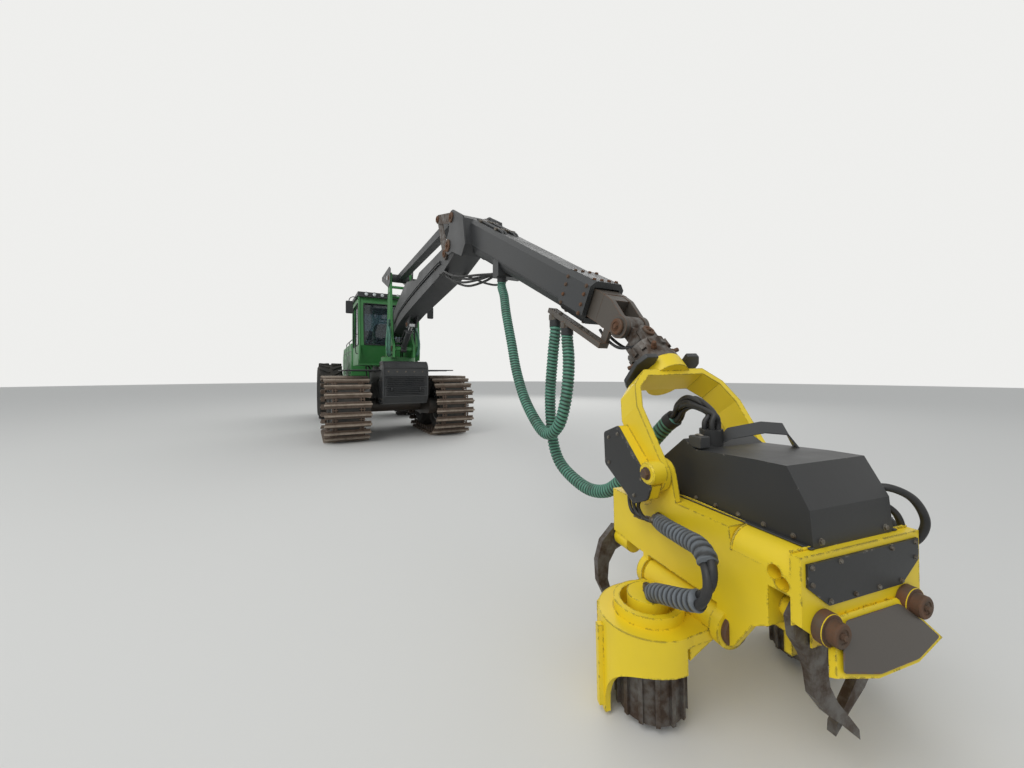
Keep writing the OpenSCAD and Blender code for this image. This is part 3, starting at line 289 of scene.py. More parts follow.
# %% Table of finishes
FINISHES = {
    chassis_enamel: ("front_frame", "bogie_case_left", "bogie_case_right", "rear_frame", "rear_bumper",
                     "steer_barrel_left", "steer_barrel_right"),
    black_enamel: ("front_guard", "radiator_grille", "cab_roof", "bar_guard_plate", "lift_barrel"),
    hood_enamel: ("head_hood",), rust_enamel: ("extension_arm",),
    green_enamel: ("engine_hood", "cab_base", "cab_shell", "cab_door", "crane_pillar"),
    crane_enamel: ("main_boom", "link_bar", "outer_boom"),
    worn_steel: ("knee_rocker", "knee_link", "tip_link", "rotator_housing",
                 "front_knife_left", "front_knife_right", "rear_knife_left", "rear_knife_right",
                 "feed_roller_left", "feed_roller_right"),
    yellow_enamel: ("tilt_hoop", "head_frame", "saw_box", "feed_arm_left", "feed_arm_right"),
    chrome: ("steer_rod_left", "steer_rod_right", "lift_rod"),
    track_steel: ("track_left", "track_right"),
    rim_enamel: ("bogie_rims_left", "bogie_rims_right", "rear_rim_left", "rear_rim_right"),
    tyre_rubber: ("bogie_tyres_left", "bogie_tyres_right", "rear_tyre_left", "rear_tyre_right"),
    hose_sheath: ("hose_loop", "hose_head"), seat_cloth: ("cab_seat",), lamp_glass: ("roof_lamps",),
    cast_iron: ("engine_block",),
    window_glass: ("cab_panes", "door_pane")}
for material, names in FINISHES.items():
    for name in names:
        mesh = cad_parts[name].data
        mesh.materials.clear()
        mesh.materials.append(material)
print("nodes finished", sum(len(names) for names in FINISHES.values()), "of", len(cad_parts))

# %% [markdown]
# ## More finishes for the added pieces
# Hoses are black rubber or, where they rub, run in a green plastic guard wound round them like a spring. The
# guard's raised turns are paler, so its mesh carries a value named mark that says how high each point stands.

# %% Rubber, wound guards and small glass
def banded(name, low, high, rough, grime="#3B3A36"):
    """Plastic, rubber or steel whose colour follows the mesh's own mark value from low to high, under patches
    of grime."""
    material, tree, out, place = new_material(name)
    mark = add(tree, "Attribute", attribute_name="mark").outputs["Fac"]
    cloud = add(tree, "TexNoise", {"Scale": 9, "Detail": 6, "Roughness": 0.6}, {"Vector": place}).outputs[0]
    colours = mixed(tree, mark, low, high)
    colours = mixed(tree, steps(tree, cloud, 0.45, 0.75, 0, 0.7), colours, grime)
    shader = add(tree, "BsdfPrincipled", {"IOR": 1.5}, {"Base Color": colours})
    tree.links.new(steps(tree, cloud, 0.3, 0.7, rough, rough + 0.25), shader.inputs["Roughness"])
    fine = add(tree, "TexNoise", {"Scale": 260, "Detail": 3}, {"Vector": place}).outputs[0]
    bumped(tree, shader, out, fine, 0.2, 0.001)
    return material


green_guard = banded("green_spiral_guard", "#17332B", "#57917B", 0.4)
grey_wrap = banded("grey_spiral_wrap", "#26292C", "#6B7176", 0.45)
hose_rubber = bare_steel("black_hose_rubber", "#1B1C1D", "#2C2B2A", 0.0, 0.38, 20.0)
bolt_steel = bare_steel("zinc_bolt_steel", "#7D7A72", "#54483C", 0.7, 0.4, 40.0)
rusty_steel = bare_steel("rust_worn_steel", "#57493D", "#6E4B34", 0.3, 0.6, 11.0)
black_plastic = bare_steel("black_moulded_plastic", "#1E2022", "#2A2B2C", 0.0, 0.5, 80.0)
red_lens = bare_steel("red_lamp_lens", "#A51C17", "#8A1512", 0.0, 0.15, 30.0)
amber_lens = bare_steel("amber_lamp_lens", "#E08A16", "#C9740F", 0.0, 0.15, 30.0)
mirror_glass = bare_steel("mirror_glass", "#DCE2E6", "#CDD3D8", 1.0, 0.04, 3.0)
print("materials", len(bpy.data.materials))

# %% [markdown]
# ## Surfaces from arrays
# Every added piece is a surface worked out as whole arrays: a profile turned about an axis, a ring carried
# along a path, or an outline given a thickness and cut-back rims. A shape is its vertices and its face
# arrays, one for each number of corners, so shapes join and repeat by adding an offset to vertex numbers.

# %% Shapes
def grid_of(points, round_u=False, round_v=False, ends=False):
    """Shape over points[u, v]: each face joins (u, v), (u+1, v), (u+1, v+1) and (u, v+1). round_u and round_v
    close the grid on itself, and ends fills its first and last row."""
    rows, columns = points.shape[:2]
    index = np.arange(rows * columns).reshape(rows, columns)
    grid = np.vstack([index, index[:1]]) if round_u else index
    grid = np.hstack([grid, grid[:, :1]]) if round_v else grid
    faces = [np.stack([grid[:-1, :-1], grid[1:, :-1], grid[1:, 1:], grid[:-1, 1:]], axis=-1).reshape(-1, 4)]
    if ends:
        faces.append(np.stack([index[0], index[-1][::-1]]))
    return points.reshape(-1, 3), faces


def joined(*shapes):
    """Several shapes as one: each shape's vertex numbers go up by the vertices before it."""
    before = np.cumsum([0] + [len(s[0]) for s in shapes])
    return np.concatenate([s[0] for s in shapes]), [f + n for s, n in zip(shapes, before) for f in s[1]]


def repeated(shape, frames):
    """A copy of the shape for each 4 by 4 matrix M in frames, where vertex p goes to M p."""
    points, faces = shape
    moved = np.einsum("kij,nj->kni", frames[:, :3, :3], points) + frames[:, None, :3, 3]
    jumps = len(points) * np.arange(len(frames))[:, None, None]
    return moved.reshape(-1, 3), [(f[None] + jumps).reshape(-1, f.shape[1]) for f in faces]


def standing(at, up, ahead=(1, 0.013, 0.021), size=1.0):
    """Matrices that carry the origin to each point of at, z to up, and x to ahead less its share along up."""
    at = np.atleast_2d(np.asarray(at, float))
    up = np.broadcast_to(np.asarray(up, float), at.shape)
    up = up / np.linalg.norm(up, axis=1, keepdims=True)
    x = np.broadcast_to(np.asarray(ahead, float), at.shape)
    x = x - (x * up).sum(1, keepdims=True) * up
    x = x / np.linalg.norm(x, axis=1, keepdims=True)
    frames = np.tile(np.eye(4), (len(at), 1, 1))
    frames[:, :3, :3] = np.stack([x, np.cross(up, x), up], axis=-1) * np.reshape(size, (-1, 1, 1))
    frames[:, :3, 3] = at
    return frames


def turned(profile, count=32, closed=False):
    """Profile (r, z) turned about z: (r cos a, r sin a, z). closed joins the profile's end to its start."""
    angle = np.linspace(0, 2 * np.pi, count + 1)[:-1]
    r, z = np.asarray(profile, float).T
    grid = np.stack([np.outer(r, np.cos(angle)), np.outer(r, np.sin(angle)), np.outer(z, angle * 0 + 1)],
                    axis=-1)
    return grid_of(grid, round_u=closed, round_v=True, ends=not closed)


def inset(outline, distance):
    """Outline moved inwards: each corner goes along m, the sum of its edges' inward normals, by the distance
    times 2 / |m|^2."""
    o = np.asarray(outline, float)
    x, y = o.T
    if (x * np.roll(y, -1) - np.roll(x, -1) * y).sum() < 0:
        o = o[::-1]
    edge = np.roll(o, -1, 0) - o
    normal = np.stack([-edge[:, 1], edge[:, 0]], axis=1) / np.linalg.norm(edge, axis=1, keepdims=True)
    m = normal + np.roll(normal, 1, 0)
    return o + distance * m * 2 / np.maximum((m * m).sum(1, keepdims=True), 0.5)


def rounded(outline, radius, count=5):
    """Outline with its corners rounded, in the plane or in space: corner b is cut back along both edges by
    radius, to a and to c, and (1-t)^2 a + 2 t (1-t) b + t^2 c runs between them."""
    b = np.asarray(outline, float)
    back, on = np.roll(b, 1, 0) - b, np.roll(b, -1, 0) - b
    a = b + radius * back / np.linalg.norm(back, axis=1, keepdims=True)
    c = b + radius * on / np.linalg.norm(on, axis=1, keepdims=True)
    t = np.linspace(0, 1, count)[None, :, None]
    bend = (1 - t) ** 2 * a[:, None] + 2 * t * (1 - t) * b[:, None] + t ** 2 * c[:, None]
    return bend.reshape(-1, b.shape[1])


def plate(outline, thick, rim=0.002):
    """Outline from z = 0 to thick, its two rims cut back by rim: four rings, inset, full, full, inset."""
    full, cut = inset(outline, 0), inset(outline, rim)
    rings = [np.column_stack([ring, np.full(len(ring), z)])
             for ring, z in ((cut, 0), (full, rim), (full, thick - rim), (cut, thick))]
    return grid_of(np.stack(rings), round_v=True, ends=True)


def curve(points, count):
    """Catmull-Rom curve through points, cut into count points spaced evenly along its length."""
    p = np.asarray(points, float)
    p = np.vstack([2 * p[0] - p[1], p, 2 * p[-1] - p[-2]])
    t = np.linspace(0, 1, 25)[:-1, None, None]
    a, b, c, d = p[:-3], p[1:-2], p[2:-1], p[3:]
    q = 0.5 * (2 * b + (c - a) * t + (2 * a - 5 * b + 4 * c - d) * t ** 2 + (3 * b - a - 3 * c + d) * t ** 3)
    q = np.vstack([q.transpose(1, 0, 2).reshape(-1, 3), p[-2]])
    run = np.concatenate([[0], np.cumsum(np.linalg.norm(np.diff(q, axis=0), axis=1))])
    even = np.linspace(0, run[-1], count)
    return np.stack([np.interp(even, run, q[:, k]) for k in range(3)], axis=1)


def length_of(path):
    """Sum of the distances between neighbouring points."""
    return float(np.linalg.norm(np.diff(path, axis=0), axis=1).sum())


def tube(path, radius, sides=12, closed=False):
    """Circle carried along a path: p + r (cos a u + sin a v), with u and v square to the path. The direction
    that the path follows least, the last of its tangents' singular vectors, keeps them from twisting."""
    path = np.asarray(path, float)
    tangent = np.roll(path, -1, 0) - np.roll(path, 1, 0) if closed else np.gradient(path, axis=0)
    tangent = tangent / np.linalg.norm(tangent, axis=1, keepdims=True)
    side = np.linalg.svd(tangent)[2][-1]
    u = np.cross(side, tangent)
    u = u / np.linalg.norm(u, axis=1, keepdims=True)
    v = np.cross(tangent, u)
    angle = np.linspace(0, 2 * np.pi, sides + 1)[:-1]
    ring = np.cos(angle)[None, :, None] * u[:, None] + np.sin(angle)[None, :, None] * v[:, None]
    radius = np.broadcast_to(np.asarray(radius, float).reshape(len(path) if np.ndim(radius) else 1, -1),
                             (len(path), sides))
    return grid_of(path[:, None] + radius[:, :, None] * ring, round_u=closed, round_v=True, ends=not closed)


def tubes(paths, radius, sides):
    """One tube along each path, as one shape."""
    return joined(*[tube(path, radius, sides) for path in paths])


def wound(path, radius, pitch, depth, sides=18):
    """Tube with a raised spiral: its wave is 0.5 + 0.5 cos 2 pi (s / pitch + a / 2 pi), made three times as
    steep and cut off at 0 and 1. Returns the shape, the wave at each vertex and the path."""
    rows = int(length_of(path) / pitch * 7)
    path = curve(path, rows)
    s = np.linspace(0, length_of(path), rows)[:, None] / pitch
    wave = 0.5 + 0.5 * np.cos(2 * np.pi * (s + np.arange(sides)[None] / sides))
    wave = np.clip(wave * 3 - 0.8, 0, 1)
    return tube(path, radius + depth * wave, sides), wave.ravel(), path


def circle_of(radius, count, z):
    """Points evenly round a circle that lies flat at height z."""
    angle = np.linspace(0, 2 * np.pi, count + 1)[:-1]
    return np.column_stack([radius * np.cos(angle), radius * np.sin(angle), np.full(count, z)])


def at_y(points, y):
    """Side-view points (x, z) put at one y."""
    p = np.asarray(points, float)
    return np.column_stack([p[:, 0], np.full(len(p), y), p[:, 1]])


def slab(outline, y, thick, rim=0.003):
    """Side-view outline (x, z) given a thickness from y towards +y."""
    points, faces = plate(outline, thick, rim)
    return np.column_stack([points[:, 0], points[:, 2] + y, points[:, 1]]), faces


def facing(outline, x, thick, rim=0.003):
    """Front-view outline (y, z) given a thickness from x towards +x."""
    points, faces = plate(outline, thick, rim)
    return np.column_stack([points[:, 2] + x, points[:, 0], points[:, 1]]), faces


def block(low, high, rim=0.004):
    """Box from low to high with its upright rims cut back."""
    (x0, y0, z0), (x1, y1, z1) = low, high
    points, faces = plate([(x0, y0), (x1, y0), (x1, y1), (x0, y1)], z1 - z0, rim)
    return points + (0, 0, z0), faces


print("a bolt-sized plate has", len(plate([(0, 0), (1, 0), (1, 1)], 0.1)[0]), "vertices")

# %% [markdown]
# ## Places and pieces
# The CAD source measures from the front bogie axle, so pieces are worked out from there too. The head
# hangs swung to one side about its cross pin and turned on its rotator, so its pieces make both turns too.

# %% Places
SIDES = (("left", 1), ("right", -1))
LEAN = math.radians(44)
DOWN = np.array([math.sin(LEAN), 0, -math.cos(LEAN)])       # down the rotator
FORE = np.array([math.cos(LEAN), 0, math.sin(LEAN)])        # along its cross pin
TIP_PIN = np.array([7.865, 0, 1.756])
CROSS_PIN = TIP_PIN + 0.135 * DOWN
MOUTH = np.array([7.600, 0, 1.950])
JIB = math.radians(28)                                      # the outer boom's slope
SIDE_SWING, HEAD_TURN = -6, 8                               # degrees
SLEW_X = 0.600


def spun(points, centre, axis, degrees):
    """Turned about an axis k through centre: p cos a + (k x p) sin a + k (k . p)(1 - cos a)."""
    p, a = np.asarray(points, float) - centre, math.radians(degrees)
    return centre + p * math.cos(a) + np.cross(axis, p) * math.sin(a) + np.outer(p @ axis,
                                                                                 axis) * (1 - math.cos(a))


def from_axle(points):
    """From places measured from the bogie axle to the frame's own."""
    return np.asarray(points, float) + (AXLE_X, 0, 0)


def on_rotator(points):
    """A place on the rotator as if it hung straight, to where it hangs."""
    return from_axle(spun(points, CROSS_PIN, FORE, SIDE_SWING))


def on_head(points):
    """A place on the head as if it hung straight and unturned, to where it hangs."""
    return on_rotator(spun(points, TIP_PIN, DOWN, HEAD_TURN))


def on_jib(points):
    """x along the outer boom beyond its mouth, z square to it: each turned down by the jib's slope."""
    x, y, z = np.asarray(points, float).T
    return from_axle(MOUTH + np.stack([x * math.cos(JIB) + z * math.sin(JIB), y,
                                       z * math.cos(JIB) - x * math.sin(JIB)], axis=1))


def piece(name, shape, material, body, place=from_axle, mark=None, sharp=38):
    """Makes a shape's mesh, turns its faces outwards and shades it smooth but for edges over sharp degrees.
    It rides on a body. Given (body, next body, start, end) instead, both points from the axle, it stays where
    it is made and rides on no body."""
    mesh = bpy.data.meshes.new(name)
    mesh.from_pydata(place(shape[0]).tolist(), [], [face for faces in shape[1] for face in faces.tolist()])
    turning = bmesh.new()
    turning.from_mesh(mesh)
    bmesh.ops.recalc_face_normals(turning, faces=turning.faces)
    turning.to_mesh(mesh)
    turning.free()
    mesh.polygons.foreach_set("use_smooth", np.ones(len(mesh.polygons), bool))
    mesh.set_sharp_from_angle(angle=math.radians(sharp))
    mesh.materials.append(material)
    if mark is not None:
        mesh.attributes.new("mark", "FLOAT", "POINT").data.foreach_set("value", mark.astype(np.float32))
    made = bpy.data.objects.new(name, mesh)
    bpy.context.scene.collection.objects.link(made)
    if isinstance(body, str):
        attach(made, body)
    else:
        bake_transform(made)
    return made


def hexagon_bolt():
    """Washer and six-sided head, one unit from corner to middle, standing on z = 0."""
    washer = turned([(1.25, 0), (1.25, 0.12), (1.15, 0.16)], 12)
    head = turned([(1.0, 0.15), (1.0, 0.72), (0.86, 0.84)], 6)
    return joined(washer, head)


def bolts(at, up, radius):
    """Bolt heads of one radius at several points, each standing up along up."""
    return repeated(hexagon_bolt(), standing(at, up, size=radius))


def pin_cap(radius, height=0.018):
    """Pin's end: a turned disc with a groove and a chamfer, held by a bolt in its middle."""
    disc = turned([(radius, 0), (radius, height * 0.7), (radius * 0.9, height), (radius * 0.62, height),
                   (radius * 0.58, height * 0.7), (radius * 0.30, height * 0.7), (radius * 0.28, height)], 36)
    bolt = repeated(hexagon_bolt(), standing([(0, 0, height)], (0, 0, 1), size=radius * 0.26))
    return joined(disc, bolt)


def both_sides(points, y):
    """Each (x, z) at y and at -y, with the outward side of each."""
    at = np.concatenate([at_y(points, s * y) for s in (1, -1)])
    return at, np.sign(at[:, 1:2]) * (0, 1, 0)


print("head's turn takes (1, 0, 0) to", np.round(on_head([[1, 0, 0]]) - on_head([[0, 0, 0]]), 3))

# %% [markdown]
# ## The hoses that hang from the crane
# Pressure hoses run inside a wound plastic guard as thick as a forearm. One hangs in a deep loop under the
# outer boom, so that the boom can grow longer, and one goes on to the head. Their routes are the CAD's.

# %% Guarded hoses
LOOP_ROUTE = np.array([
    (6.150, -0.080, 2.4495), (6.150, -0.080, 2.410), (6.150, -0.080, 2.350), (6.235, -0.095, 2.240),
    (6.340, -0.125, 2.050), (6.490, -0.145, 1.745), (6.620, -0.160, 1.470), (6.810, -0.178, 1.218),
    (7.060, -0.190, 1.020), (7.210, -0.192, 0.985), (7.330, -0.185, 1.070), (7.385, -0.172, 1.220),
    (7.395, -0.150, 1.400), (7.365, -0.122, 1.570), (7.327, -0.106, 1.700), (7.325, -0.106, 1.760),
    (7.325, -0.106, 1.7995)])
HEAD_ROUTE = np.array([
    (7.166, -0.106, 1.8795), (7.166, -0.106, 1.840), (7.164, -0.106, 1.780), (7.125, -0.102, 1.600),
    (7.050, -0.078, 1.240), (7.060, -0.062, 0.930), (7.140, -0.060, 0.762), (7.290, -0.060, 0.672),
    (7.515, -0.060, 0.620), (7.707, -0.060, 0.655), (7.849, -0.060, 0.755), (7.970, -0.060, 0.890),
    (8.090, -0.060, 1.040), (8.211, -0.060, 1.169), (8.262, -0.060, 1.209)])
HOOD_PORT = np.array([8.545, -0.153, 1.180])
GUARD_R = 0.040
PITCH = 0.027
RIDGE = 0.006                       # how far the guard's turns stand up
CLAMP_R = 0.047


def guarded_hose(name, route, body, far_body, node):
    """Wound guard along a route from the CAD source, left where it is made on no body. A dark clamp holds
    each end: the start's clamp goes with one body and the end's with the next."""
    shape, wave, path = wound(route, GUARD_R, PITCH, RIDGE)
    guard = piece(name, shape, green_guard, (body, far_body, path[0], path[-1]), mark=wave, sharp=180)
    near = piece(name + "_start_clamp", tube(curve(path[:14], 6), CLAMP_R, 24), black_plastic, body)
    far = piece(name + "_end_clamp", tube(curve(path[-14:], 6), CLAMP_R, 24), black_plastic, far_body)
    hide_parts(node)
    return path


guarded_hose("loop_hose_guard", LOOP_ROUTE, "outer_boom", "extension", "hose_loop")
guarded_hose("head_hose_guard", HEAD_ROUTE, "extension", "tip_link", "hose_head")

# %% Hoses out of the guard into the head
START = HEAD_ROUTE[-1]
RISE = np.array([0.80, 0, 0.60])
HEAD_HOSE_R = 0.0125
# each hose's turn round the guard in degrees, then its spread and its crest in metres
HEAD_HOSES = ((20, -0.045, 0.100), (95, -0.020, 0.128), (165, 0.0, 0.112), (240, 0.030, 0.098),
              (310, 0.012, 0.142))
for i, (turn, spread, crest) in enumerate(HEAD_HOSES):
    a = math.radians(turn)
    out = START + 0.025 * (math.cos(a) * np.array([0, 1, 0]) + math.sin(a) * np.array([-0.6, 0, 0.8]))
    port = HOOD_PORT + 0.030 * np.array([math.cos(a), math.sin(a), 0])
    over = (out + port) / 2 + (0, spread, crest)
    route = [out - 0.03 * RISE, out + 0.02 * RISE, out * 0.6 + over * 0.4 + (0, spread * 0.3, 0.022), over,
             port * 0.75 + over * 0.25 + (0.028, spread * 0.4, 0.055), port + (0, 0, 0.045), port]
    path = curve(route, 40)
    hose = piece(f"head_hose_{i + 1}", tube(path, HEAD_HOSE_R, 14), hose_rubber, "extension")
print("hoses into the head", len(HEAD_HOSES))

# %% [markdown]
# ## Feed motor hoses
# Two hoses go from the head's side to each feed motor in a wide bend, so that the arm can open. Where they
# rub they wear a grey wrap. Each route is worked out on the head as it stands before its turns.

# %% Hoses of the feed arms
MOTOR_ROUTE = np.array([
    (8.470, -0.312, 0.760), (8.540, -0.345, 0.772), (8.640, -0.385, 0.790), (8.779, -0.420, 0.808),
    (8.880, -0.450, 0.822), (8.950, -0.480, 0.800), (8.975, -0.500, 0.735), (8.940, -0.510, 0.672),
    (8.860, -0.508, 0.630), (8.750, -0.500, 0.585), (8.660, -0.485, 0.540), (8.600, -0.472, 0.470)])


def feed_hoses(side, s):
    """A pair of bare hoses along the motor's route, with a wrap round them before and after the bend."""
    route = MOTOR_ROUTE * (1, s, 1)
    name = f"feed_hose_{side}"
    middle = curve(route, 90)
    bare = [curve(middle + offset, 60) for offset in ((0, 0.010, 0.016), (0, -0.012, -0.016))]
    near, far = on_head(middle[[0, -1]]) - (AXLE_X, 0, 0)
    across = ("head", f"feed_arm_{side}", near, far)
    piece(name + "_pair", tubes(bare, 0.0165, 12), hose_rubber, across, on_head)
    shapes = [wound(part, 0.033, 0.030, 0.0045, 20) for part in (middle[6:44], middle[56:84])]
    wrap = joined(*[shape for shape, _, _ in shapes])
    waves = np.concatenate([wave for _, wave, _ in shapes])
    piece(name + "_wrap", wrap, grey_wrap, across, on_head, waves, 180)
    fittings = [repeated(joined(turned([(0.022, 0), (0.022, 0.03), (0.019, 0.034)], 6),
                                turned([(0.017, 0.03), (0.017, 0.07), (0.02, 0.075), (0.02, 0.09)], 20)),
                         standing([point], direction))
                for point, direction in ((middle[0] + (-0.012, 0, 0), (1, -0.3 * s, 0.12)),
                                         (middle[-1] + (-0.02, 0, -0.02), (0.2, 0.05 * s, 1)),
                                         (middle[-1] + (0.03, 0.02 * s, -0.02), (0.2, 0.05 * s, 1)))]
    piece(name + "_start", fittings[0], bolt_steel, "head", on_head)
    piece(name + "_fittings", joined(*fittings[1:]), bolt_steel, f"feed_arm_{side}", on_head)


feed_hoses("right", 1)
feed_hoses("left", -1)
print("feed hoses made")

# %% [markdown]
# ## Small parts of the head
# Sheet covers are held by rows of bolts, pins end in turned caps, and each weld leaves a rounded bead. They
# are what the eye takes the head's size from.

# %% Bolts, caps and beads on the head
PANEL_X, PIN_X = 9.1483, 9.1905     # the end panel's face, and the knife pins' ends
PIN_Y, PIN_Z = 0.210, 0.640
panel = [(PANEL_X, s * y, z) for s in (1, -1)
         for y, z in ((0.262, 0.838), (0.262, 0.783), (0.180, 0.716), (0.060, 0.716), (0.130, 0.838))]
piece("end_panel_bolts", bolts(panel, (1, 0, 0), 0.0075), bolt_steel, "head", on_head)
hood_front = [(9.1125, s * 0.165, 0.892) for s in (1, -1)]
hood_sides, out = both_sides([(x, 0.893) for x in np.linspace(8.50, 9.05, 6)], 0.2055)
piece("hood_bolts", joined(bolts(hood_front, (1, 0, 0.09), 0.010), bolts(hood_sides, out, 0.008)),
      bolt_steel, "head", on_head)
pin_ends = [(PIN_X, s * PIN_Y, PIN_Z) for s in (1, -1)]
knife_caps = repeated(pin_cap(0.0392, 0.012), standing(pin_ends, (1, 0, 0)))
arm_at = [(x, s * 0.262, 0.455) for s in (1, -1) for x in (8.344, 8.846)]
arm_caps = joined(*[repeated(pin_cap(0.062), standing([at], (np.sign(at[0] - 8.6), 0, 0))) for at in arm_at])
piece("head_pin_caps", joined(knife_caps, arm_caps), rusty_steel, "head", on_head)


def bead(points, radius=0.005, closed=False):
    """Weld bead: a thin tube whose radius swells by a seventh every 20 mm, as the pool froze."""
    path = curve(points, max(int(length_of(np.asarray(points, float)) / 0.006), 8))
    return tube(path, radius * (1 + 0.14 * np.sin(np.arange(len(path)) * 1.9)), 6, closed)


ring = np.linspace(0, 2 * np.pi, 33)
welds = [bead([(8.8805, s * 0.215 + 0.0845 * math.cos(a), 0.787 + 0.0845 * math.sin(a))
               for a in (ring / 2 if s > 0 else math.pi - ring / 2)]) for s in (1, -1)]
welds += [bead([(8.10, s * 0.2155, 0.803), (8.37, s * 0.2155, 0.803), (8.50, s * 0.2155, 0.876),
                (8.87, s * 0.2155, 0.876)]) for s in (1, -1)]
welds += [bead([(9.104, s * y, 0.876) for y in (0.02, 0.295)]) for s in (1, -1)]
piece("head_welds", joined(*welds), yellow_enamel, "head", on_head)
flanges = [plate([(8.435, s * 0.204), (9.118, s * 0.204), (9.118, s * 0.222), (8.435, s * 0.222)], 0.006)
           for s in (1, -1)]
piece("hood_flange", joined(*flanges), black_enamel, "head", lambda p: on_head(p + (0, 0, 0.8735)))

# %% Flap and cap on the head's hood, and the hoses over its left side
flap = np.array([(8.545, -0.02, 1.130), (8.575, 0.02, 1.188), (8.665, 0.12, 1.222), (8.715, 0.19, 1.216),
                 (8.755, 0.202, 1.122)])
fold = np.stack([flap, flap + (0.055, -0.035, -0.012)])
fold[1, :, 2] = np.maximum(fold[1, :, 2] - 0.030, 1.118)
thick = np.concatenate([fold, fold[::-1] + (0.004, 0.004, 0.004)])
piece("hood_flap", grid_of(thick.transpose(1, 0, 2), round_v=True, ends=True), black_enamel, "head", on_head)
cap_at, cap_up = np.array([8.600, -0.176, 1.150]), np.array([0.35, -1, 0.30])
cap = joined(turned([(0.026, -0.012), (0.026, 0.010), (0.022, 0.014), (0.020, 0.010)], 32),
             turned([(0.031, -0.014), (0.031, 0.002), (0.027, 0.004)], 32))
piece("hood_cap", repeated(cap, standing([cap_at], cap_up)), bolt_steel, "head", on_head)
piece("hood_cap_bracket", block((8.570, -0.203, 1.118), (8.640, -0.150, 1.172)), black_enamel, "head",
      on_head)
side_loop = curve([(9.030, 0.205, 1.000), (9.085, 0.235, 1.020), (9.130, 0.290, 0.985), (9.150, 0.320, 0.905),
                   (9.128, 0.315, 0.830), (9.085, 0.290, 0.795)], 50)
inner_loop = curve([(8.980, 0.205, 0.955), (9.040, 0.232, 0.960), (9.085, 0.270, 0.925),
                    (9.095, 0.290, 0.860), (9.070, 0.285, 0.800)], 40)
piece("side_hoses", joined(tube(side_loop, 0.014, 14), tube(inner_loop, 0.012, 12)), hose_rubber, "head",
      on_head)

# %% Bracket hoses under the cover boxes, and the hoop's own parts
for side, s in SIDES[::-1]:
    starts = [(8.330, 0.352, 0.880), (8.365, 0.352, 0.868), (8.400, 0.348, 0.850)]
    ends = [(8.420, 0.318, 0.735), (8.480, 0.318, 0.745), (8.540, 0.318, 0.752)]
    paths = [curve([(a[0], a[1] * s, a[2]), (a[0] - 0.005, (a[1] + 0.012) * s, a[2] - 0.05),
                    ((a[0] + b[0]) / 2, (a[1] + 0.030) * s, (a[2] + b[2]) / 2 - 0.03),
                    (b[0] - 0.02, (b[1] + 0.018) * s, b[2] + 0.012), (b[0], (b[1] - 0.02) * s, b[2])], 36)
             for a, b in zip(starts, ends)]
    piece(f"hoop_hoses_{side}", tubes(paths, 0.009, 12), hose_rubber, "head", on_head)
    nuts = repeated(turned([(0.014, 0), (0.014, 0.028), (0.011, 0.032), (0.011, 0.05)], 6),
                    standing([path[-7] for path in paths], np.stack([path[-7] - path[-2] for path in paths])))
    piece(f"hoop_fittings_{side}", nuts, bolt_steel, "head", on_head)
boss = turned([(0.052, -0.065), (0.052, 0.004), (0.047, 0.010), (0.030, 0.010)], 36)
knob_at = [(8.527, s * 0.398, 1.003) for s in (1, -1)]
piece("hoop_bosses", joined(*[repeated(boss, standing([at], (0, np.sign(at[1]), 0))) for at in knob_at]),
      yellow_enamel, "tilt_hoop", on_head)
boss_bolts = [bolts([np.add(at, (0, 0.010 * np.sign(at[1]), 0))], (0, np.sign(at[1]), 0),
                    0.024) for at in knob_at]
piece("hoop_boss_bolts", joined(*boss_bolts), rusty_steel, "tilt_hoop", on_head)
COVER = [(8.161, 1.139), (8.290, 1.188), (8.543, 0.947), (8.516, 0.881), (8.412, 0.833), (8.166, 0.973)]
rim = rounded(COVER, 0.012)
sheet, faces = plate(rim, 0.0035, 0.0015)
covers = [(np.column_stack([sheet[:, 0], s * (0.3975 + sheet[:, 2]), sheet[:, 1]]), faces) for s in (-1, 1)]
edges = [tube(at_y(rim, s * 0.396), 0.006, 8, closed=True) for s in (-1, 1)]
piece("hoop_covers", joined(*covers, *edges), hood_enamel, "tilt_hoop", on_head)
cover_at, cover_out = both_sides([(8.205, 1.120), (8.290, 1.150), (8.480, 0.965), (8.420, 0.870),
                                  (8.205, 0.985)], 0.4010)
piece("cover_bolts", bolts(cover_at, cover_out, 0.0085), bolt_steel, "tilt_hoop", on_head)
FLANGE = TIP_PIN + 0.420 * DOWN
spread = np.cross(DOWN, FORE)
wing = plate(rounded([(-0.135, 0.10), (-0.135, 0.175), (-0.075, 0.215), (0.075, 0.215), (0.135, 0.175),
                      (0.135, 0.10)], 0.008), 0.030, 0.003)
wings = repeated(wing, standing([FLANGE, FLANGE], -DOWN, [FORE, -FORE]))
piece("rotator_wings", wings, black_enamel, "tilt_hoop", on_head)
wing_bolts = [FLANGE - 0.030 * DOWN + a * FORE + s * b * spread for s in (1, -1)
              for a, b in ((-0.095, 0.150), (0.095, 0.150), (0.0, 0.188))]
piece("rotator_wing_bolts", bolts(wing_bolts, -DOWN, 0.014), bolt_steel, "tilt_hoop", on_head)
sleeve = turned([(0.0535, 0.0), (0.0535, 0.026), (0.050, 0.0315), (0.0395, 0.0320), (0.0395, 0.0505),
                 (0.0383, 0.0505), (0.0383, 0.0)], 36, closed=True)
sleeve_at = [(9.1405, s * PIN_Y, PIN_Z) for s in (1, -1)]
piece("knife_pin_sleeves", repeated(sleeve, standing(sleeve_at, (1, 0, 0))), rusty_steel, "head", on_head)
blade_lean = math.radians(28)
blade = rounded([(-0.135, 0.0), (0.135, 0.0), (0.198, -0.062), (0.240, -0.118), (0.096, -0.150),
                 (-0.096, -0.150),
                 (-0.240, -0.118), (-0.198, -0.062)], 0.012)
dish, faces = plate(blade, 0.0035, 0.0015)
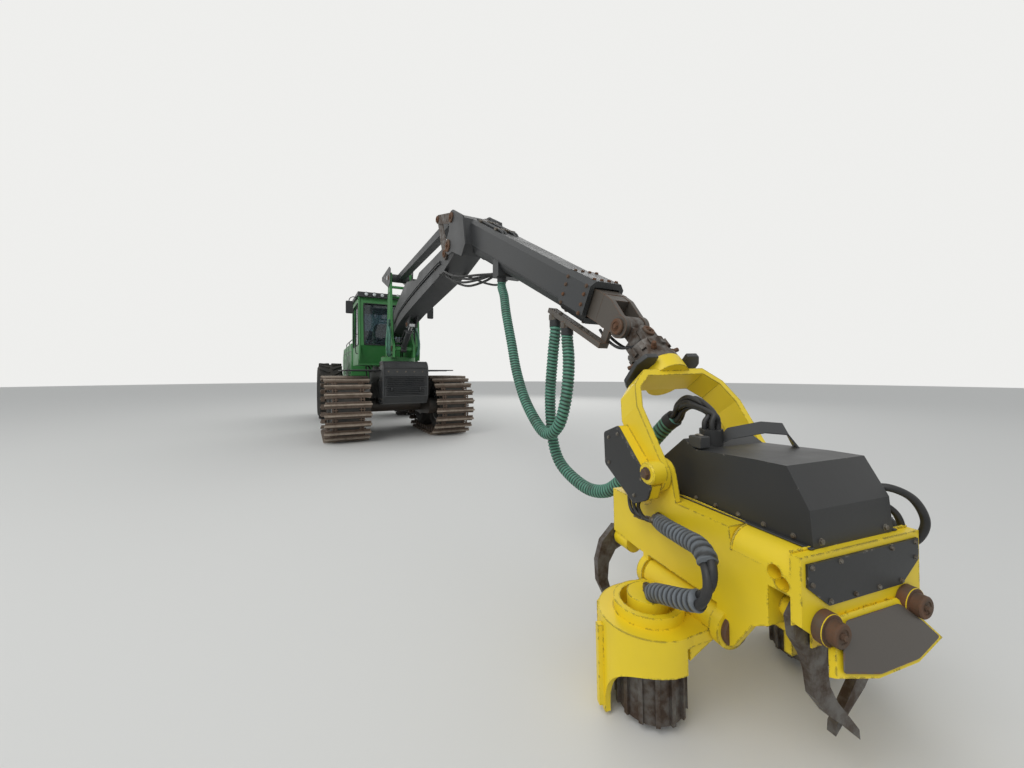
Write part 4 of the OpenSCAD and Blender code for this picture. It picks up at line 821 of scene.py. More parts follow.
y, up, out = dish[:, 0], dish[:, 1], dish[:, 2] + 0.0245
dish = np.column_stack([9.140 + out * math.cos(blade_lean) - up * math.sin(blade_lean), y,
                        PIN_Z + out * math.sin(blade_lean) + up * math.cos(blade_lean)])
piece("top_knife_face", (dish, faces), rust_enamel, "head", on_head)
top_ring = [TIP_PIN + 0.262 * DOWN + 0.100 * (math.cos(a) * FORE + math.sin(a) * spread) for a in ring[:-1:3]]
ports = [TIP_PIN + 0.300 * DOWN + 0.105 * (math.cos(a) * FORE + math.sin(a) * spread) for a in (0.6, 2.2, 4.0,
                                                                                                5.4)]
stubs = joined(*[repeated(joined(turned([(0.019, 0), (0.019, 0.024), (0.016, 0.028)], 6),
                                 turned([(0.013, 0.024), (0.013, 0.05), (0.010, 0.054)], 16)),
                          standing([at], at - TIP_PIN - ((at - TIP_PIN) @ DOWN) * DOWN)) for at in ports])
piece("rotator_fittings", joined(stubs, bolts(top_ring, -DOWN, 0.011)), rusty_steel, "rotator", on_rotator)
print("hoop and rotator pieces made")

# %% [markdown]
# ## The crane's small parts
# A forestry crane lives by its pins: each ends in a cap that a bolt holds. Pressure pipes and hoses follow
# the booms under clamps and cross each joint in a slack loop, whose mesh stays where it is made, on no body.

# %% Pins, pipes and clamps of the crane
PINS = (("boom_root", (0.800, 2.485), 0.2415, 0.085, "crane_pillar"),      # name, x and z, y, radius, body
        ("bar_root", (0.800, 3.600), 0.2415, 0.048, "crane_pillar"),
        ("lift_foot", (1.130, 1.990), 0.2415, 0.065, "crane_pillar"),
        ("knee", (4.960, 3.100), 0.2595, 0.078, "outer_boom"),
        ("horn", (5.090, 3.420), 0.2595, 0.064, "outer_boom"),
        ("bar_eye", (4.430, 3.630), 0.2335, 0.046, "knee_link"),
        ("rocker", (4.670, 3.085), 0.2115, 0.052, "knee_rocker"),
        ("lift_eye", (1.900, 2.440), 0.0915, 0.045, "main_boom"),
        ("tip", (7.865, 1.756), 0.1045, 0.052, "extension"))
for name, at, y, radius, body in PINS:
    where, out = both_sides([at], y)
    piece(f"pin_caps_{name}", repeated(pin_cap(radius), standing(where, out)), rusty_steel, body)
cross_at = [CROSS_PIN + s * 0.0855 * FORE for s in (1, -1)]
piece("pin_caps_cross", repeated(pin_cap(0.040, 0.014), standing(cross_at, [FORE, -FORE], (0, 1, 0))),
      rusty_steel, "rotator", on_rotator)


def clamp(width, depth):
    """Clamp block, width wide and depth high, that stands across the pipes with a bolt on top."""
    outline = rounded([(-0.022, -width / 2), (0.022, -width / 2), (0.022, width / 2), (-0.022, width / 2)],
                      0.006)
    return joined(plate(outline, depth, 0.003), bolts([(0, 0, depth)], (0, 0, 1), 0.009))


TOP = np.array([(1.020, 2.818), (1.500, 2.978), (2.060, 3.168), (2.300, 3.214), (2.620, 3.160),
                (2.960, 3.098),
                (3.060, 3.104), (3.230, 3.180), (3.950, 3.200), (4.560, 3.222)])
hoses = [curve([(x, y, z + 0.012) for x, z in TOP], 120) for y in (-0.105, -0.066, 0.066, 0.105)]
piece("boom_top_hoses", tubes(hoses, 0.015, 12), hose_rubber, "main_boom")
boom_clamp = clamp(0.30, 0.030)
clamp_at = [(1.50, 0, 2.976), (2.06, 0, 3.166), (2.62, 0, 3.160), (3.45, 0, 3.176), (4.20, 0, 3.200)]
clamp_up = [(-0.32, 0, 0.95), (-0.26, 0, 0.96), (0.17, 0, 0.98), (-0.03, 0, 1), (-0.03, 0, 1)]
piece("boom_clamps", repeated(boom_clamp, standing(clamp_at, clamp_up)), black_plastic, "main_boom")
side_pipes = [curve([(1.15, -0.198, 2.560 - d), (1.60, -0.198, 2.720 - d), (2.30, -0.198, 2.840 - d),
                     (3.20, -0.198, 2.950 - d), (4.20, -0.198, 3.040 - d), (4.42, -0.198, 3.045 - d)], 80)
              for d in (0, 0.034)]
piece("boom_side_pipes", tubes(side_pipes, 0.010, 10), crane_enamel, "main_boom")
pipe_clamp = repeated(boom_clamp, standing([(0, 0, 0)], (0, 0, 1), size=0.30))
pipe_clamp_at = at_y([(1.45, 2.655), (2.30, 2.822), (3.20, 2.933), (4.15, 3.020)], -0.187)
piece("boom_pipe_clamps", repeated(pipe_clamp, standing(pipe_clamp_at, (0, -1, 0))), bolt_steel, "main_boom")
lug = plate(rounded([(3.60, 3.17), (3.79, 3.17), (3.73, 3.275), (3.66, 3.275)], 0.012), 0.030)
piece("boom_lug", (lug[0][:, [0, 2, 1]] - (0, 0.015, 0), lug[1]), crane_enamel, "main_boom")
print("pins and boom pipes made")

# %% Hoses across the knee, and on the outer boom
KNEE_HOSE_R = 0.0135
KNEE_HOSES = ((-0.135, 0.0), (-0.168, 0.045), (-0.200, -0.020), (-0.120, 0.080),
              (0.150, 0.030))   # y, and sag
for i, (y, low) in enumerate(KNEE_HOSES):
    path = curve([(4.420, y, 2.862), (4.560, y, 2.845), (4.780, y * 1.25, 2.790 - low),
                  (5.100, y * 1.35, 2.670 - low),
                  (5.450, y * 1.30, 2.575 - low), (5.800, y * 0.95, 2.530 - low * 0.6),
                  (6.000, y * 0.6, 2.515), (6.085, y * 0.5, 2.515)], 70)
    hose = piece(f"knee_hose_{i + 1}", tube(path, KNEE_HOSE_R, 14), hose_rubber,
                 ("main_boom", "outer_boom", (4.60, 0, 2.84), (5.60, 0, 2.56)))
bracket_nuts = repeated(turned([(0.022, 0), (0.022, 0.03), (0.017, 0.036), (0.017, 0.05)], 6),
                        standing([(6.0795, y * 0.5, 2.515) for y in (-0.135, -0.200, 0.150)], (-1, 0, 0),
                                 (0, 0, 1)))
piece("bracket_fittings", bracket_nuts, bolt_steel, "outer_boom")

JIB_SLOPE = (0.185 - 0.145) / 2.30


def jib_top(x):
    """Height of the outer boom's top above its axis at x behind its mouth: a straight taper."""
    return 0.145 + (-0.335 - x) * JIB_SLOPE


xs = np.linspace(-2.46, -1.66, 40)
dip = 0.016 - 0.034 * np.clip((xs + 1.74) / 0.08, 0, 1) ** 2
rails = [np.column_stack([xs, np.full(40, y), jib_top(xs) + dip]) for y in (-0.085, -0.050, 0.050, 0.085)]
piece("jib_pipes", tubes(rails, 0.011, 10), crane_enamel, "outer_boom", on_jib)
clamp_x = np.array([-2.30, -1.84])
jib_clamp = clamp(0.24, 0.028)
piece("jib_clamps", repeated(jib_clamp, standing(np.column_stack([clamp_x, clamp_x * 0, jib_top(clamp_x)]),
                                                 (JIB_SLOPE, 0, 1))), bolt_steel, "outer_boom", on_jib)
collar, out = both_sides([(x, z) for x in (-0.285, -0.045) for z in (-0.095, -0.030, 0.045, 0.105)], 0.1500)
top = [(x, y, 0.155) for x in (-0.285, -0.045) for y in (-0.100, -0.033, 0.033, 0.100)]
low = [(x, y, -0.155) for x in (-0.285, -0.045) for y in (-0.080, 0.080)]
piece("collar_bolts", joined(bolts(collar, out, 0.0125), bolts(top, (0, 0, 1), 0.0125), bolts(low, (0, 0, -1),
                                                                                              0.0125)),
      rusty_steel, "outer_boom", on_jib)
seams = []
for s in (1, -1):
    seams.append(bead([(x, s * (0.1655 - 0.030 * (x + 2.64) / 2.31),
                        -(jib_top(x)) + 0.110 - 0.05 * (x + 2.64) / 2.31)
                       for x in (-2.62, -1.90, -1.10, -0.345)], 0.0045))
    seams.append(bead([(-0.3325, s * 0.138, -0.10), (-0.3325, s * 0.138, 0.10), (-0.3325, s * 0.10, 0.143),
                       (-0.3325, 0, 0.1445)], 0.006))
piece("jib_welds", joined(*seams), crane_enamel, "outer_boom", on_jib)
boss_nut = turned([(0.052, -0.02), (0.052, 0.020), (0.045, 0.028), (0.045, 0.034)], 6)
nut_at = [(7.166, -0.106, 1.905), (7.325, -0.106, 1.825)]
piece("hose_bar_nuts", repeated(boss_nut, standing(nut_at, (0, 0, -1))), bolt_steel, "extension")
bar_bolts = [(x, -0.106, -0.190) for x in (-0.30, -0.02, 0.06)]
piece("hose_bar_bolts", bolts(bar_bolts, (0, 0, 1), 0.013), bolt_steel, "extension", on_jib)
tip_hoses = [curve([(0.118, y, -0.150), (0.22, y * 1.2, -0.178), (0.36, y * 1.3, -0.178), (0.46, y, -0.120),
                    (0.50, y * 0.9, -0.060)], 40) for y in (-0.050, 0.0)]
piece("tip_hoses", tubes(tip_hoses, 0.010, 12), hose_rubber, "extension", on_jib)
print("knee and outer boom pieces made")

# %% Lift cylinder, pillar and slewing ring
LIFT_FOOT, LIFT_EYE = np.array([1.130, 0, 1.990]), np.array([1.900, 0, 2.440])
LIFT_WAY = (LIFT_EYE - LIFT_FOOT) / np.linalg.norm(LIFT_EYE - LIFT_FOOT)
gland = turned([(0.064, -0.05), (0.068, -0.045), (0.068, -0.005), (0.060, 0.001), (0.038, 0.002)], 36)
foot_gland = turned([(0.0605, 0.10), (0.066, 0.105), (0.066, 0.125), (0.0605, 0.13)], 36)
piece("lift_gland", joined(repeated(gland, standing([LIFT_FOOT + 0.668 * LIFT_WAY], LIFT_WAY)),
                           repeated(foot_gland, standing([LIFT_FOOT], LIFT_WAY))), black_enamel,
      "lift_barrel")
lift_pipe = curve([LIFT_FOOT + 0.20 * LIFT_WAY + (0, -0.062, 0.035),
                   LIFT_FOOT + 0.24 * LIFT_WAY + (0, -0.080, 0.048),
                   LIFT_FOOT + 0.58 * LIFT_WAY + (0, -0.080, 0.048),
                   LIFT_FOOT + 0.62 * LIFT_WAY + (0, -0.060, 0.035)], 40)
piece("lift_pipe", tube(lift_pipe, 0.009, 10), black_enamel, "lift_barrel")
ring_at = circle_of(0.345, 24, 1.8165) + (SLEW_X, 0, 0)
clear = (np.abs(ring_at[:, 1]) >= 0.18) | (np.abs(ring_at[:, 0] - SLEW_X) > 0.30)      # of the pillar's foot
piece("slew_bolts", bolts(ring_at[clear], (0, 0, 1), 0.018), bolt_steel, "crane_pillar")
lip = turned([(0.402, 1.560), (0.425, 1.562), (0.425, 1.600), (0.402, 1.602)], 72)
piece("slew_ring_lip", (lip[0] + (SLEW_X, 0, 0), lip[1]), chassis_enamel, "front_frame")
for side, s in SIDES[::-1]:
    for i, (x, y, top_z) in enumerate(((1.180, 0.300, 2.50), (1.080, 0.330, 2.58))):
        route = [(x - 0.05, s * 0.285, 1.835), (x + 0.04, s * y, 1.900), (x + 0.07, s * (y + 0.015), 2.080),
                 (x + 0.02, s * y, 2.300), (0.995, s * 0.285, top_z), (0.930, s * 0.262, top_z + 0.05)]
        shape, wave, _ = wound(curve(route, 60), 0.024, 0.024, 0.004, 16)
        piece(f"pillar_hose_{side}_{i + 1}", shape, green_guard, "crane_pillar", mark=wave, sharp=180)
plates_x = [(0.42, 1.88), (1.15, 1.88), (0.62, 2.55), (0.98, 2.50), (0.72, 3.25), (0.86, 3.25)]
pillar_at, out = both_sides(plates_x, 0.2412)
piece("pillar_bolts", bolts(pillar_at, out, 0.014), bolt_steel, "crane_pillar")
ties = [[(x, -0.19, z), (x, 0, z), (x, 0.19, z)] for x, z in ((0.66, 3.20), (0.88, 3.38), (0.50, 2.15))]
piece("pillar_ties", tubes(ties, 0.030, 20), green_enamel, "crane_pillar")
feeders = [curve([(0.56, y, 1.80), (0.60, y, 2.05), (0.56, y * 1.1, 2.40), (0.66, y * 1.1, 2.70),
                  (0.86, y, 2.800),
                  (1.03, y, 2.832)], 70) for y in (-0.105, -0.066, 0.066, 0.105)]
piece("pillar_feeders", tubes(feeders, 0.015, 12), hose_rubber,
      ("crane_pillar", "main_boom", (0.56, 0, 2.30), (0.95, 0, 2.82)))
print("pillar pieces made")

# %% [markdown]
# ## Band tracks
# A band track is thirty-four forged plates joined by links. Each plate carries one tall bar that bites the
# ground and two horns that guide it along the tyres. The same plate repeats along the loop round both tyres.

# %% Track plates
AXLE_Z = 0.698
BAND_R = 0.656                      # the band's outside, where the plates lie
HALF_BASE = 0.75
TRACK_Y = 1.125
SHOES = 34


def loop_frames(count):
    """Frames evenly along the loop, with z standing outwards. The loop is two straights of 2 HALF_BASE and
    two half circles of radius BAND_R."""
    straight, half = 2 * HALF_BASE, math.pi * BAND_R
    d = (np.arange(count) + 0.5) * (2 * (straight + half)) / count
    turn = np.clip(d - straight, 0, half) / BAND_R + np.clip(d - 2 * straight - half, 0, half) / BAND_R
    x = np.select([d < straight, d < straight + half, d < 2 * straight + half],
                  [d - HALF_BASE, 0 * d + HALF_BASE, HALF_BASE - (d - straight - half)], -HALF_BASE)
    at = np.column_stack([x + BAND_R * np.sin(turn), 0 * d, AXLE_Z + BAND_R * np.cos(turn)])
    up = np.column_stack([np.sin(turn), 0 * d, np.cos(turn)])
    return standing(at, up, np.column_stack([np.cos(turn), 0 * d, -np.sin(turn)]))


base = slab([(-0.066, -0.020), (0.066, -0.020), (0.066, -0.006),
             (0.030, 0.0), (-0.030, 0.0), (-0.066, -0.006)], -0.430, 0.860)
bar = slab([(-0.026, -0.004), (0.026, -0.004), (0.015, 0.030),
            (0.011, 0.041), (-0.011, 0.041), (-0.015, 0.030)], -0.448, 0.896, 0.006)
ribs = [slab([(x - 0.008, -0.012), (x + 0.008, -0.012), (x + 0.005, 0.008), (x - 0.005, 0.008)], -0.40, 0.80)
        for x in (-0.052, 0.052)]
horns = [slab([(-0.060, -0.016), (0.060, -0.016), (0.034, -0.085), (0.0, -0.100), (-0.034, -0.085)], y, 0.022,
              0.005) for y in (-0.345, 0.323)]
links = [slab(rounded([(-0.112, -0.030), (0.112, -0.030), (0.112, 0.004), (-0.112, 0.004)], 0.014), y, 0.020,
              0.004)
         for y in (-0.300, -0.245, 0.225, 0.280)]
pins = [tube([(0.1014, y, -0.013), (0.1014, y + 0.11, -0.013)], 0.012, 10) for y in (-0.310, 0.200)]
shoe = joined(base, bar, *ribs, *horns, *links, *pins)
height = shoe[0][:, 2]
worn = np.clip((height - 0.018) / 0.022, 0, 1) * 0.9 + np.clip((np.abs(shoe[0][:, 1]) - 0.40) / 0.05, 0,
                                                               1) * 0.3
bar_steel = banded("track_plate_steel", "#57473A", "#9C8F80", 0.45, "#4B3A2E")
frames = loop_frames(SHOES)
for side, s in SIDES:
    points, faces = repeated(shoe, frames)
    track = piece(f"track_plates_{side}", (points + (0, s * TRACK_Y, 0), faces), bar_steel, f"bogie_{side}",
                  mark=np.clip(np.tile(worn, SHOES), 0, 1))
    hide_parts(f"track_{side}")
print("track plates", len(frames), "with", len(points), "vertices a side")

# %% [markdown]
# ## Hubs and fenders
# Each bogie wheel shows a planetary hub with a ring of bolts. Flat black fenders keep mud off the cab's
# steps.

# %% Hubs, wheel bolts and fenders
HUB = [(0.23, 0), (0.23, 0.025), (0.215, 0.035), (0.175, 0.045), (0.165, 0.055), (0.160, 0.150),
       (0.150, 0.165),
       (0.130, 0.175), (0.122, 0.190), (0.060, 0.200), (0.055, 0.208), (0.020, 0.208)]
FENDER_Z = 1.520                    # 0.12 m over the tracks' bars while the bogies stand level


def hub(y, s, x, z):
    """Turned planetary hub with its flange bolts and cap bolts, standing on the rim disc."""
    flange, cap = circle_of(0.196, 12, 0.032), circle_of(0.140, 6, 0.166)
    shape = joined(turned(HUB, 48), bolts(flange, (0, 0, 1), 0.016), bolts(cap, (0, 0, 1), 0.009))
    return repeated(shape, standing([(x, y * s, z)], (0, s, 0), (1, 0, 0)))


for side, s in SIDES:
    piece(f"bogie_hubs_{side}", joined(*[hub(1.107, s, x, AXLE_Z) for x in (-HALF_BASE, HALF_BASE)]),
          chassis_enamel, f"bogie_{side}")
    both = [(x, 0, AXLE_Z) for x in (-HALF_BASE, HALF_BASE)]
    lip = turned([(0.338, 1.380), (0.352, 1.384), (0.356, 1.396), (0.338, 1.402)], 64, closed=True)
    piece(f"bogie_rim_lips_{side}", repeated(lip, standing(both, (0, s, 0))), rim_enamel, f"bogie_{side}")
    rings = [turned([(r, 1.421), (r + 0.005, 1.427), (r + 0.025, 1.427), (r + 0.030, 1.421)], 72, closed=True)
             for r in (0.42, 0.53)]
    piece(f"bogie_tyre_rings_{side}", repeated(joined(*rings), standing(both, (0, s, 0))), tyre_rubber,
          f"bogie_{side}")
    fender = rounded([(-0.98, 0.46 * s), (1.12, 0.46 * s), (1.12, 1.16 * s), (-0.98, 1.16 * s)], 0.05)
    sheet, faces = plate(fender, 0.010)
    edge = tube(np.column_stack([fender, np.full(len(fender), FENDER_Z + 0.002)]), 0.012, 8, closed=True)
    legs = [tube([(x, 0.36 * s, 1.40), (x, 0.46 * s, FENDER_Z - 0.008), (x, 1.10 * s, FENDER_Z - 0.008)],
                 0.012, 8) for x in (-0.6, 0.1, 0.8)]
    piece(f"fender_{side}", joined((sheet + (0, 0, FENDER_Z), faces), edge, *legs), black_enamel,
          "front_frame")
print("hub profile", len(HUB), "points")

# %% [markdown]
# ## Front guard
# A guard stands ahead of the front frame: a box of thick tubes with louvred plates between them, two lifting
# eyes and a row of bolts. Logs and stumps knock against it, so its paint is thin at every edge.

# %% Front guard
GUARD = [(1.02, 1.690), (1.318, 1.690), (1.402, 1.580), (1.402, 0.968), (1.300, 0.815), (0.86, 0.815)]
GUARD_Y = 0.462
rails = [tube(at_y(rounded(GUARD, 0.06), y), 0.024, 14) for y in (-GUARD_Y, GUARD_Y)]
for x, z in ((1.402, 1.580), (1.402, 1.400), (1.402, 1.160), (1.402, 0.970), (1.318, 1.690), (1.300, 0.815)):
    rails.append(tube([(x, -GUARD_Y, z), (x, 0, z), (x, GUARD_Y, z)], 0.020, 14))
piece("front_guard_tubes", joined(*rails), black_enamel, "front_frame")
blade = slab([(0, 0), (0.030, -0.022), (0.032, -0.018), (0.004, 0.006)], -0.40, 0.80, 0.001)
louvres = [(blade[0] + (1.396, 0, z), blade[1]) for z in np.arange(1.02, 1.40, 0.040)]
piece("front_guard_louvres", joined(*louvres), black_enamel, "front_frame")
side_at, side_up = both_sides([(0.93, 0.90), (1.10, 0.90), (1.27, 0.90), (1.35, 1.05), (1.35, 1.30),
                               (1.35, 1.52),
                               (1.08, 1.64), (1.26, 1.64), (1.06, 1.30)], 0.474)
piece("front_guard_bolts", joined(bolts(side_at, side_up, 0.013),
                                  bolts([(1.40, y, 1.49) for y in (-0.36, -0.18, 0, 0.18, 0.36)], (1, 0, 0),
                                        0.014)), bolt_steel, "front_frame")
eye = turned([(0.030, -0.012), (0.052, -0.012), (0.052, 0.012), (0.030, 0.012)], 28, closed=True)
eye_at = [(1.405, y, 1.12) for y in (-0.3, 0.3)]
piece("front_guard_eyes", repeated(eye, standing(eye_at, (0, 1, 0))), black_enamel, "front_frame")
bars = [[(1.404, y, 1.19), (1.404, y, 1.39)] for y in np.linspace(-0.42, 0.42, 22)]
piece("front_guard_bars", tubes(bars, 0.005, 6), black_enamel, "front_frame")
print("front guard", len(rails), "tubes and", len(louvres), "louvres")

# %% [markdown]
# ## Cab
# The cab stands behind the crane on a turntable base. Rubber gaskets hold its panes, round steel tubes
# guard its edges, and seven lamps stand in a row on the roof's front.

# %% Cab outside
WINDOW = [(-1.68, 2.15), (-0.49, 2.17), (-0.633, 3.22), (-1.63, 3.22)]


def gasket(corners, radius=0.013):
    """Rubber tube round a pane whose corners are given in space, each corner rounded by 0.07 m."""
    return tube(rounded(corners, 0.07, 7), radius, 10, closed=True)


gaskets = [gasket(at_y(WINDOW, -0.745)),
           gasket([(-0.332, -0.625, 2.16), (-0.332, 0.625, 2.16), (-0.468, 0.625, 3.20),
                   (-0.468, -0.625, 3.20)]),
           gasket([(-1.824, -0.62, 2.31), (-1.824, 0.62, 2.31), (-1.824, 0.62, 3.14), (-1.824, -0.62, 3.14)])]
piece("cab_gaskets", joined(*gaskets), black_plastic, "cab")
guards = [tube(curve([(-0.350, s * 0.725, 1.78), (-0.338, s * 0.728, 2.12), (-0.470, s * 0.728, 3.28),
                      (-0.520, s * 0.728, 3.45)], 30), 0.022, 12) for s in (-1, 1)]
guards += [tube(curve([(-1.805, s * 0.735, 1.78), (-1.815, s * 0.738, 2.60), (-1.800, s * 0.738, 3.40)], 24),
                0.020, 12) for s in (-1, 1)]
piece("cab_corner_tubes", joined(*guards), green_enamel, "cab")
roof = rounded([(-1.815, -0.775), (-0.430, -0.775), (-0.430, 0.775), (-1.815, 0.775)], 0.10, 9)
rim = tube(np.column_stack([roof, np.full(len(roof), 3.370)]), 0.016, 10, closed=True)
ribs = [slab(rounded([(-1.70, 3.478), (-0.62, 3.478), (-0.62, 3.492), (-1.70, 3.492)], 0.006), y - 0.03, 0.06)
        for y in np.linspace(-0.6, 0.6, 7)]
piece("cab_roof_rim", joined(rim, *ribs), black_enamel, "cab")
rail = tube([(-0.405, -0.70, 3.360), (-0.400, 0, 3.360), (-0.405, 0.70, 3.360)], 0.018, 12)
feet = [tube([(-0.47, y, 3.372), (-0.405, y, 3.362)], 0.012, 8) for y in (-0.66, -0.22, 0.22, 0.66)]
piece("lamp_rail", joined(rail, *feet), black_enamel, "cab")
bowl = turned([(0.020, -0.030), (0.040, -0.024), (0.050, 0.0), (0.053, 0.030), (0.056, 0.034), (0.056, 0.048),
               (0.048, 0.050), (0.046, 0.040)], 32)
lens = turned([(0.046, 0.038), (0.040, 0.045), (0.020, 0.049), (0.004, 0.050)], 32)
lamp_at = standing([(-0.428, y, 3.420) for y in np.arange(-3, 4) * 0.190], (1, 0, 0), (0, 0, 1))
housings = piece("roof_lamp_housings", repeated(bowl, lamp_at), black_plastic, "cab")
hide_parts("roof_lamps")
piece("roof_lamp_lenses", repeated(lens, lamp_at), lamp_glass, "cab")
wiper = joined(tube(curve([(-0.318, 0.05, 2.10), (-0.322, 0.10, 2.16), (-0.372, 0.28, 2.62)], 14), 0.008, 8),
               tube([(-0.348, 0.10, 2.38), (-0.372, 0.28, 2.62), (-0.412, 0.44, 2.90)], [0.006, 0.010, 0.006],
                    8),
               repeated(turned([(0.030, -0.02), (0.030, 0.012), (0.020, 0.020)], 20),
                        standing([(-0.322, 0.05, 2.09)], (1, 0, 0))))
piece("windscreen_wiper", wiper, black_plastic, "cab")
mirrors, glasses = [], []
for s in (-1, 1):
    arm = tube(curve([(-0.46, s * 0.74, 3.28), (-0.26, s * 0.88, 3.30), (-0.17, s * 0.98, 3.22),
                      (-0.17, s * 0.98, 3.10)], 20), 0.010, 8)
    shell = facing(rounded([(s * 0.90, 2.88), (s * 1.06, 2.88), (s * 1.06, 3.18), (s * 0.90, 3.18)], 0.03),
                   -0.19, 0.035, 0.008)
    mirrors += [arm, shell]
    glasses.append(facing(rounded([(s * 0.915, 2.895), (s * 1.045, 2.895), (s * 1.045, 3.165),
                                   (s * 0.915, 3.165)], 0.025), -0.196, 0.005, 0.001))
piece("mirror_shells", joined(*mirrors), black_plastic, "cab")
piece("mirror_glasses", joined(*glasses), mirror_glass, "cab")
beacon = turned([(0.050, 0), (0.050, 0.02), (0.042, 0.024), (0.042, 0.075), (0.030, 0.095), (0.006, 0.100)],
                28)
piece("roof_beacon", repeated(beacon, standing([(-1.62, 0.55, 3.480)], (0, 0, 1))), amber_lens, "cab")
piece("roof_antenna", tube([(-1.66, -0.55, 3.478), (-1.68, -0.56, 3.52)], 0.016, 10), black_plastic, "cab")
grip = curve([(-0.62, -0.745, 1.95), (-0.62, -0.79, 1.99), (-0.66, -0.79, 2.40), (-0.66, -0.745, 2.44)], 20)
piece("cab_grab_rail", tube(grip, 0.011, 8), black_plastic, "cab")
door = gasket([(-1.63, 0.747, 2.20), (-0.90, 0.747, 2.20), (-0.90, 0.747, 3.16), (-1.63, 0.747, 3.16)])
handle = tube(curve([(-0.88, 0.748, 2.02), (-0.88, 0.775, 2.03), (-0.88, 0.775, 2.13), (-0.88, 0.748, 2.14)],
                    16), 0.009, 8)
piece("door_trim", joined(door, handle), black_plastic, "cab_door")
ladder = [tube([(x, 0.90, 0.76), (x, 0.90, 1.30), (x, 0.80, 1.68)], 0.016, 10) for x in (-1.76, -1.48)]
ladder += [slab([(-1.76, z - 0.012), (-1.48, z - 0.012), (-1.48, z + 0.012), (-1.76, z + 0.012)], 0.83, 0.12)
           for z in (0.82, 1.10, 1.38)]
piece("cab_ladder", joined(*ladder), black_enamel, "front_frame")
print("lamps", len(lamp_at), "gaskets", len(gaskets))

# %% [markdown]
# ## Cab inside
# A cushion's cover pulls tight over its foam, so its faces bulge between rounded edges and its seams pull in
# along channels. Its surface is a superellipsoid with shallow grooves.

# %% Seat, consoles and screen
def cushion(low, high, channels, along=0, power=0.42):
    """Superellipsoid between low and high: each of cos and sin goes to its sign times its size to power, and
    every point within 2 cm of a channel is pulled towards the middle by up to 10 mm."""
    low, high = np.asarray(low, float), np.asarray(high, float)
    u = np.linspace(-np.pi / 2, np.pi / 2, 49)[1:-1, None]
    v = np.linspace(0, 2 * np.pi, 97)[None, :-1]
    bent = lambda a: np.sign(a) * np.abs(a) ** power
    unit = np.stack([bent(np.cos(u)) * bent(np.cos(v)), bent(np.cos(u)) * bent(np.sin(v)),
                     bent(np.sin(u)) + 0 * v], axis=-1)
    points = (low + high) / 2 + unit * (high - low) / 2
    pull = sum(np.exp(-((points[..., along] - c) / 0.012) ** 2) for c in channels)
    points = points - 0.010 * np.clip(pull, 0, 1)[..., None] * unit
    return grid_of(points, round_v=True, ends=True)


seat_base = cushion((-1.43, -0.25, 1.96), (-0.93, 0.25, 2.19), (-1.30, -1.05))
seat_back = cushion((-1.51, -0.25, 2.16), (-1.36, 0.25, 2.81), (2.36, 2.56), along=2)
seat = piece("driver_seat", joined(seat_base, seat_back), seat_cloth, "cab", sharp=80)
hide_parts("cab_seat")
stand = joined(block((-1.34, -0.17, 1.775), (-1.02, 0.17, 1.86)),
               block((-1.38, -0.21, 1.86), (-0.98, 0.21, 1.95), 0.01))
piece("seat_stand", stand, black_plastic, "cab")
consoles, levers = [], []
for s in (-1, 1):
    consoles.append(slab(rounded([(-1.32, 2.30), (-0.88, 2.27), (-0.82, 2.34), (-0.88, 2.40), (-1.32, 2.37)],
                                 0.02), s * 0.36 - 0.07, 0.14, 0.012))
    consoles.append(tube([(-1.25, s * 0.30, 1.90), (-1.25, s * 0.36, 2.31)], 0.022, 10))
    levers.append(tube(curve([(-0.90, s * 0.36, 2.38), (-0.89, s * 0.36, 2.45), (-0.87, s * 0.355, 2.53)],
                             10),
                       [0.012, 0.010, 0.010, 0.012, 0.016, 0.021, 0.024, 0.025, 0.022, 0.014], 14))
piece("arm_consoles", joined(*consoles), black_plastic, "cab")
piece("control_levers", joined(*levers), hose_rubber, "cab")
screen = facing(rounded([(-0.60, 2.30), (-0.32, 2.30), (-0.32, 2.52), (-0.60, 2.52)], 0.02), -0.56, 0.03,
                0.004)
piece("cab_screen", joined(screen, tube([(-0.53, -0.60, 2.05), (-0.545, -0.46, 2.31)], 0.014, 10)),
      black_plastic, "cab")
print("seat", len(seat_base[0]) + len(seat_back[0]), "vertices")

# %% [markdown]
# ## Rear wheels and engine hood
# The engine lies behind the cab under one hood that tips back on two knuckles. Its sides are louvred over the
# coolers, strips cover its seams, and low rails run along its top.

# %% Rear wheels
for side, s in SIDES:
    place = standing([(-4.0, s * 1.206, 0.890)], (0, s, 0), (1, 0, 0))
    flange = circle_of(0.245, 16, 0.032)
    cap = [(0.285, 0), (0.285, 0.024), (0.270, 0.034), (0.215, 0.044), (0.205, 0.060), (0.198, 0.190),
           (0.180, 0.215),
           (0.150, 0.225), (0.140, 0.240), (0.040, 0.244)]
    piece(f"rear_hub_{side}", repeated(joined(turned(cap, 56), bolts(flange, (0, 0, 1), 0.018)), place),
          chassis_enamel, f"rear_wheel_{side}")
    lip = turned([(0.330, 0.300), (0.352, 0.302), (0.360, 0.312), (0.352, 0.322), (0.332, 0.318)], 64,
                 closed=True)
    piece(f"rear_rim_lip_{side}", repeated(lip, place), rim_enamel, f"rear_wheel_{side}")
    rings = [turned([(r, 0.367), (r + 0.006, 0.374), (r + 0.022, 0.374), (r + 0.028, 0.367)], 72, closed=True)
             for r in (0.47, 0.56, 0.67)]
    piece(f"rear_tyre_rings_{side}", repeated(joined(*rings), place), tyre_rubber, f"rear_wheel_{side}")
    valve = tube([(0.26, 0.12, 0.05), (0.29, 0.135, 0.12)], 0.005, 8)
    piece(f"rear_valve_{side}", repeated(valve, place), bolt_steel, f"rear_wheel_{side}")
print("rear hub bolts", len(flange))

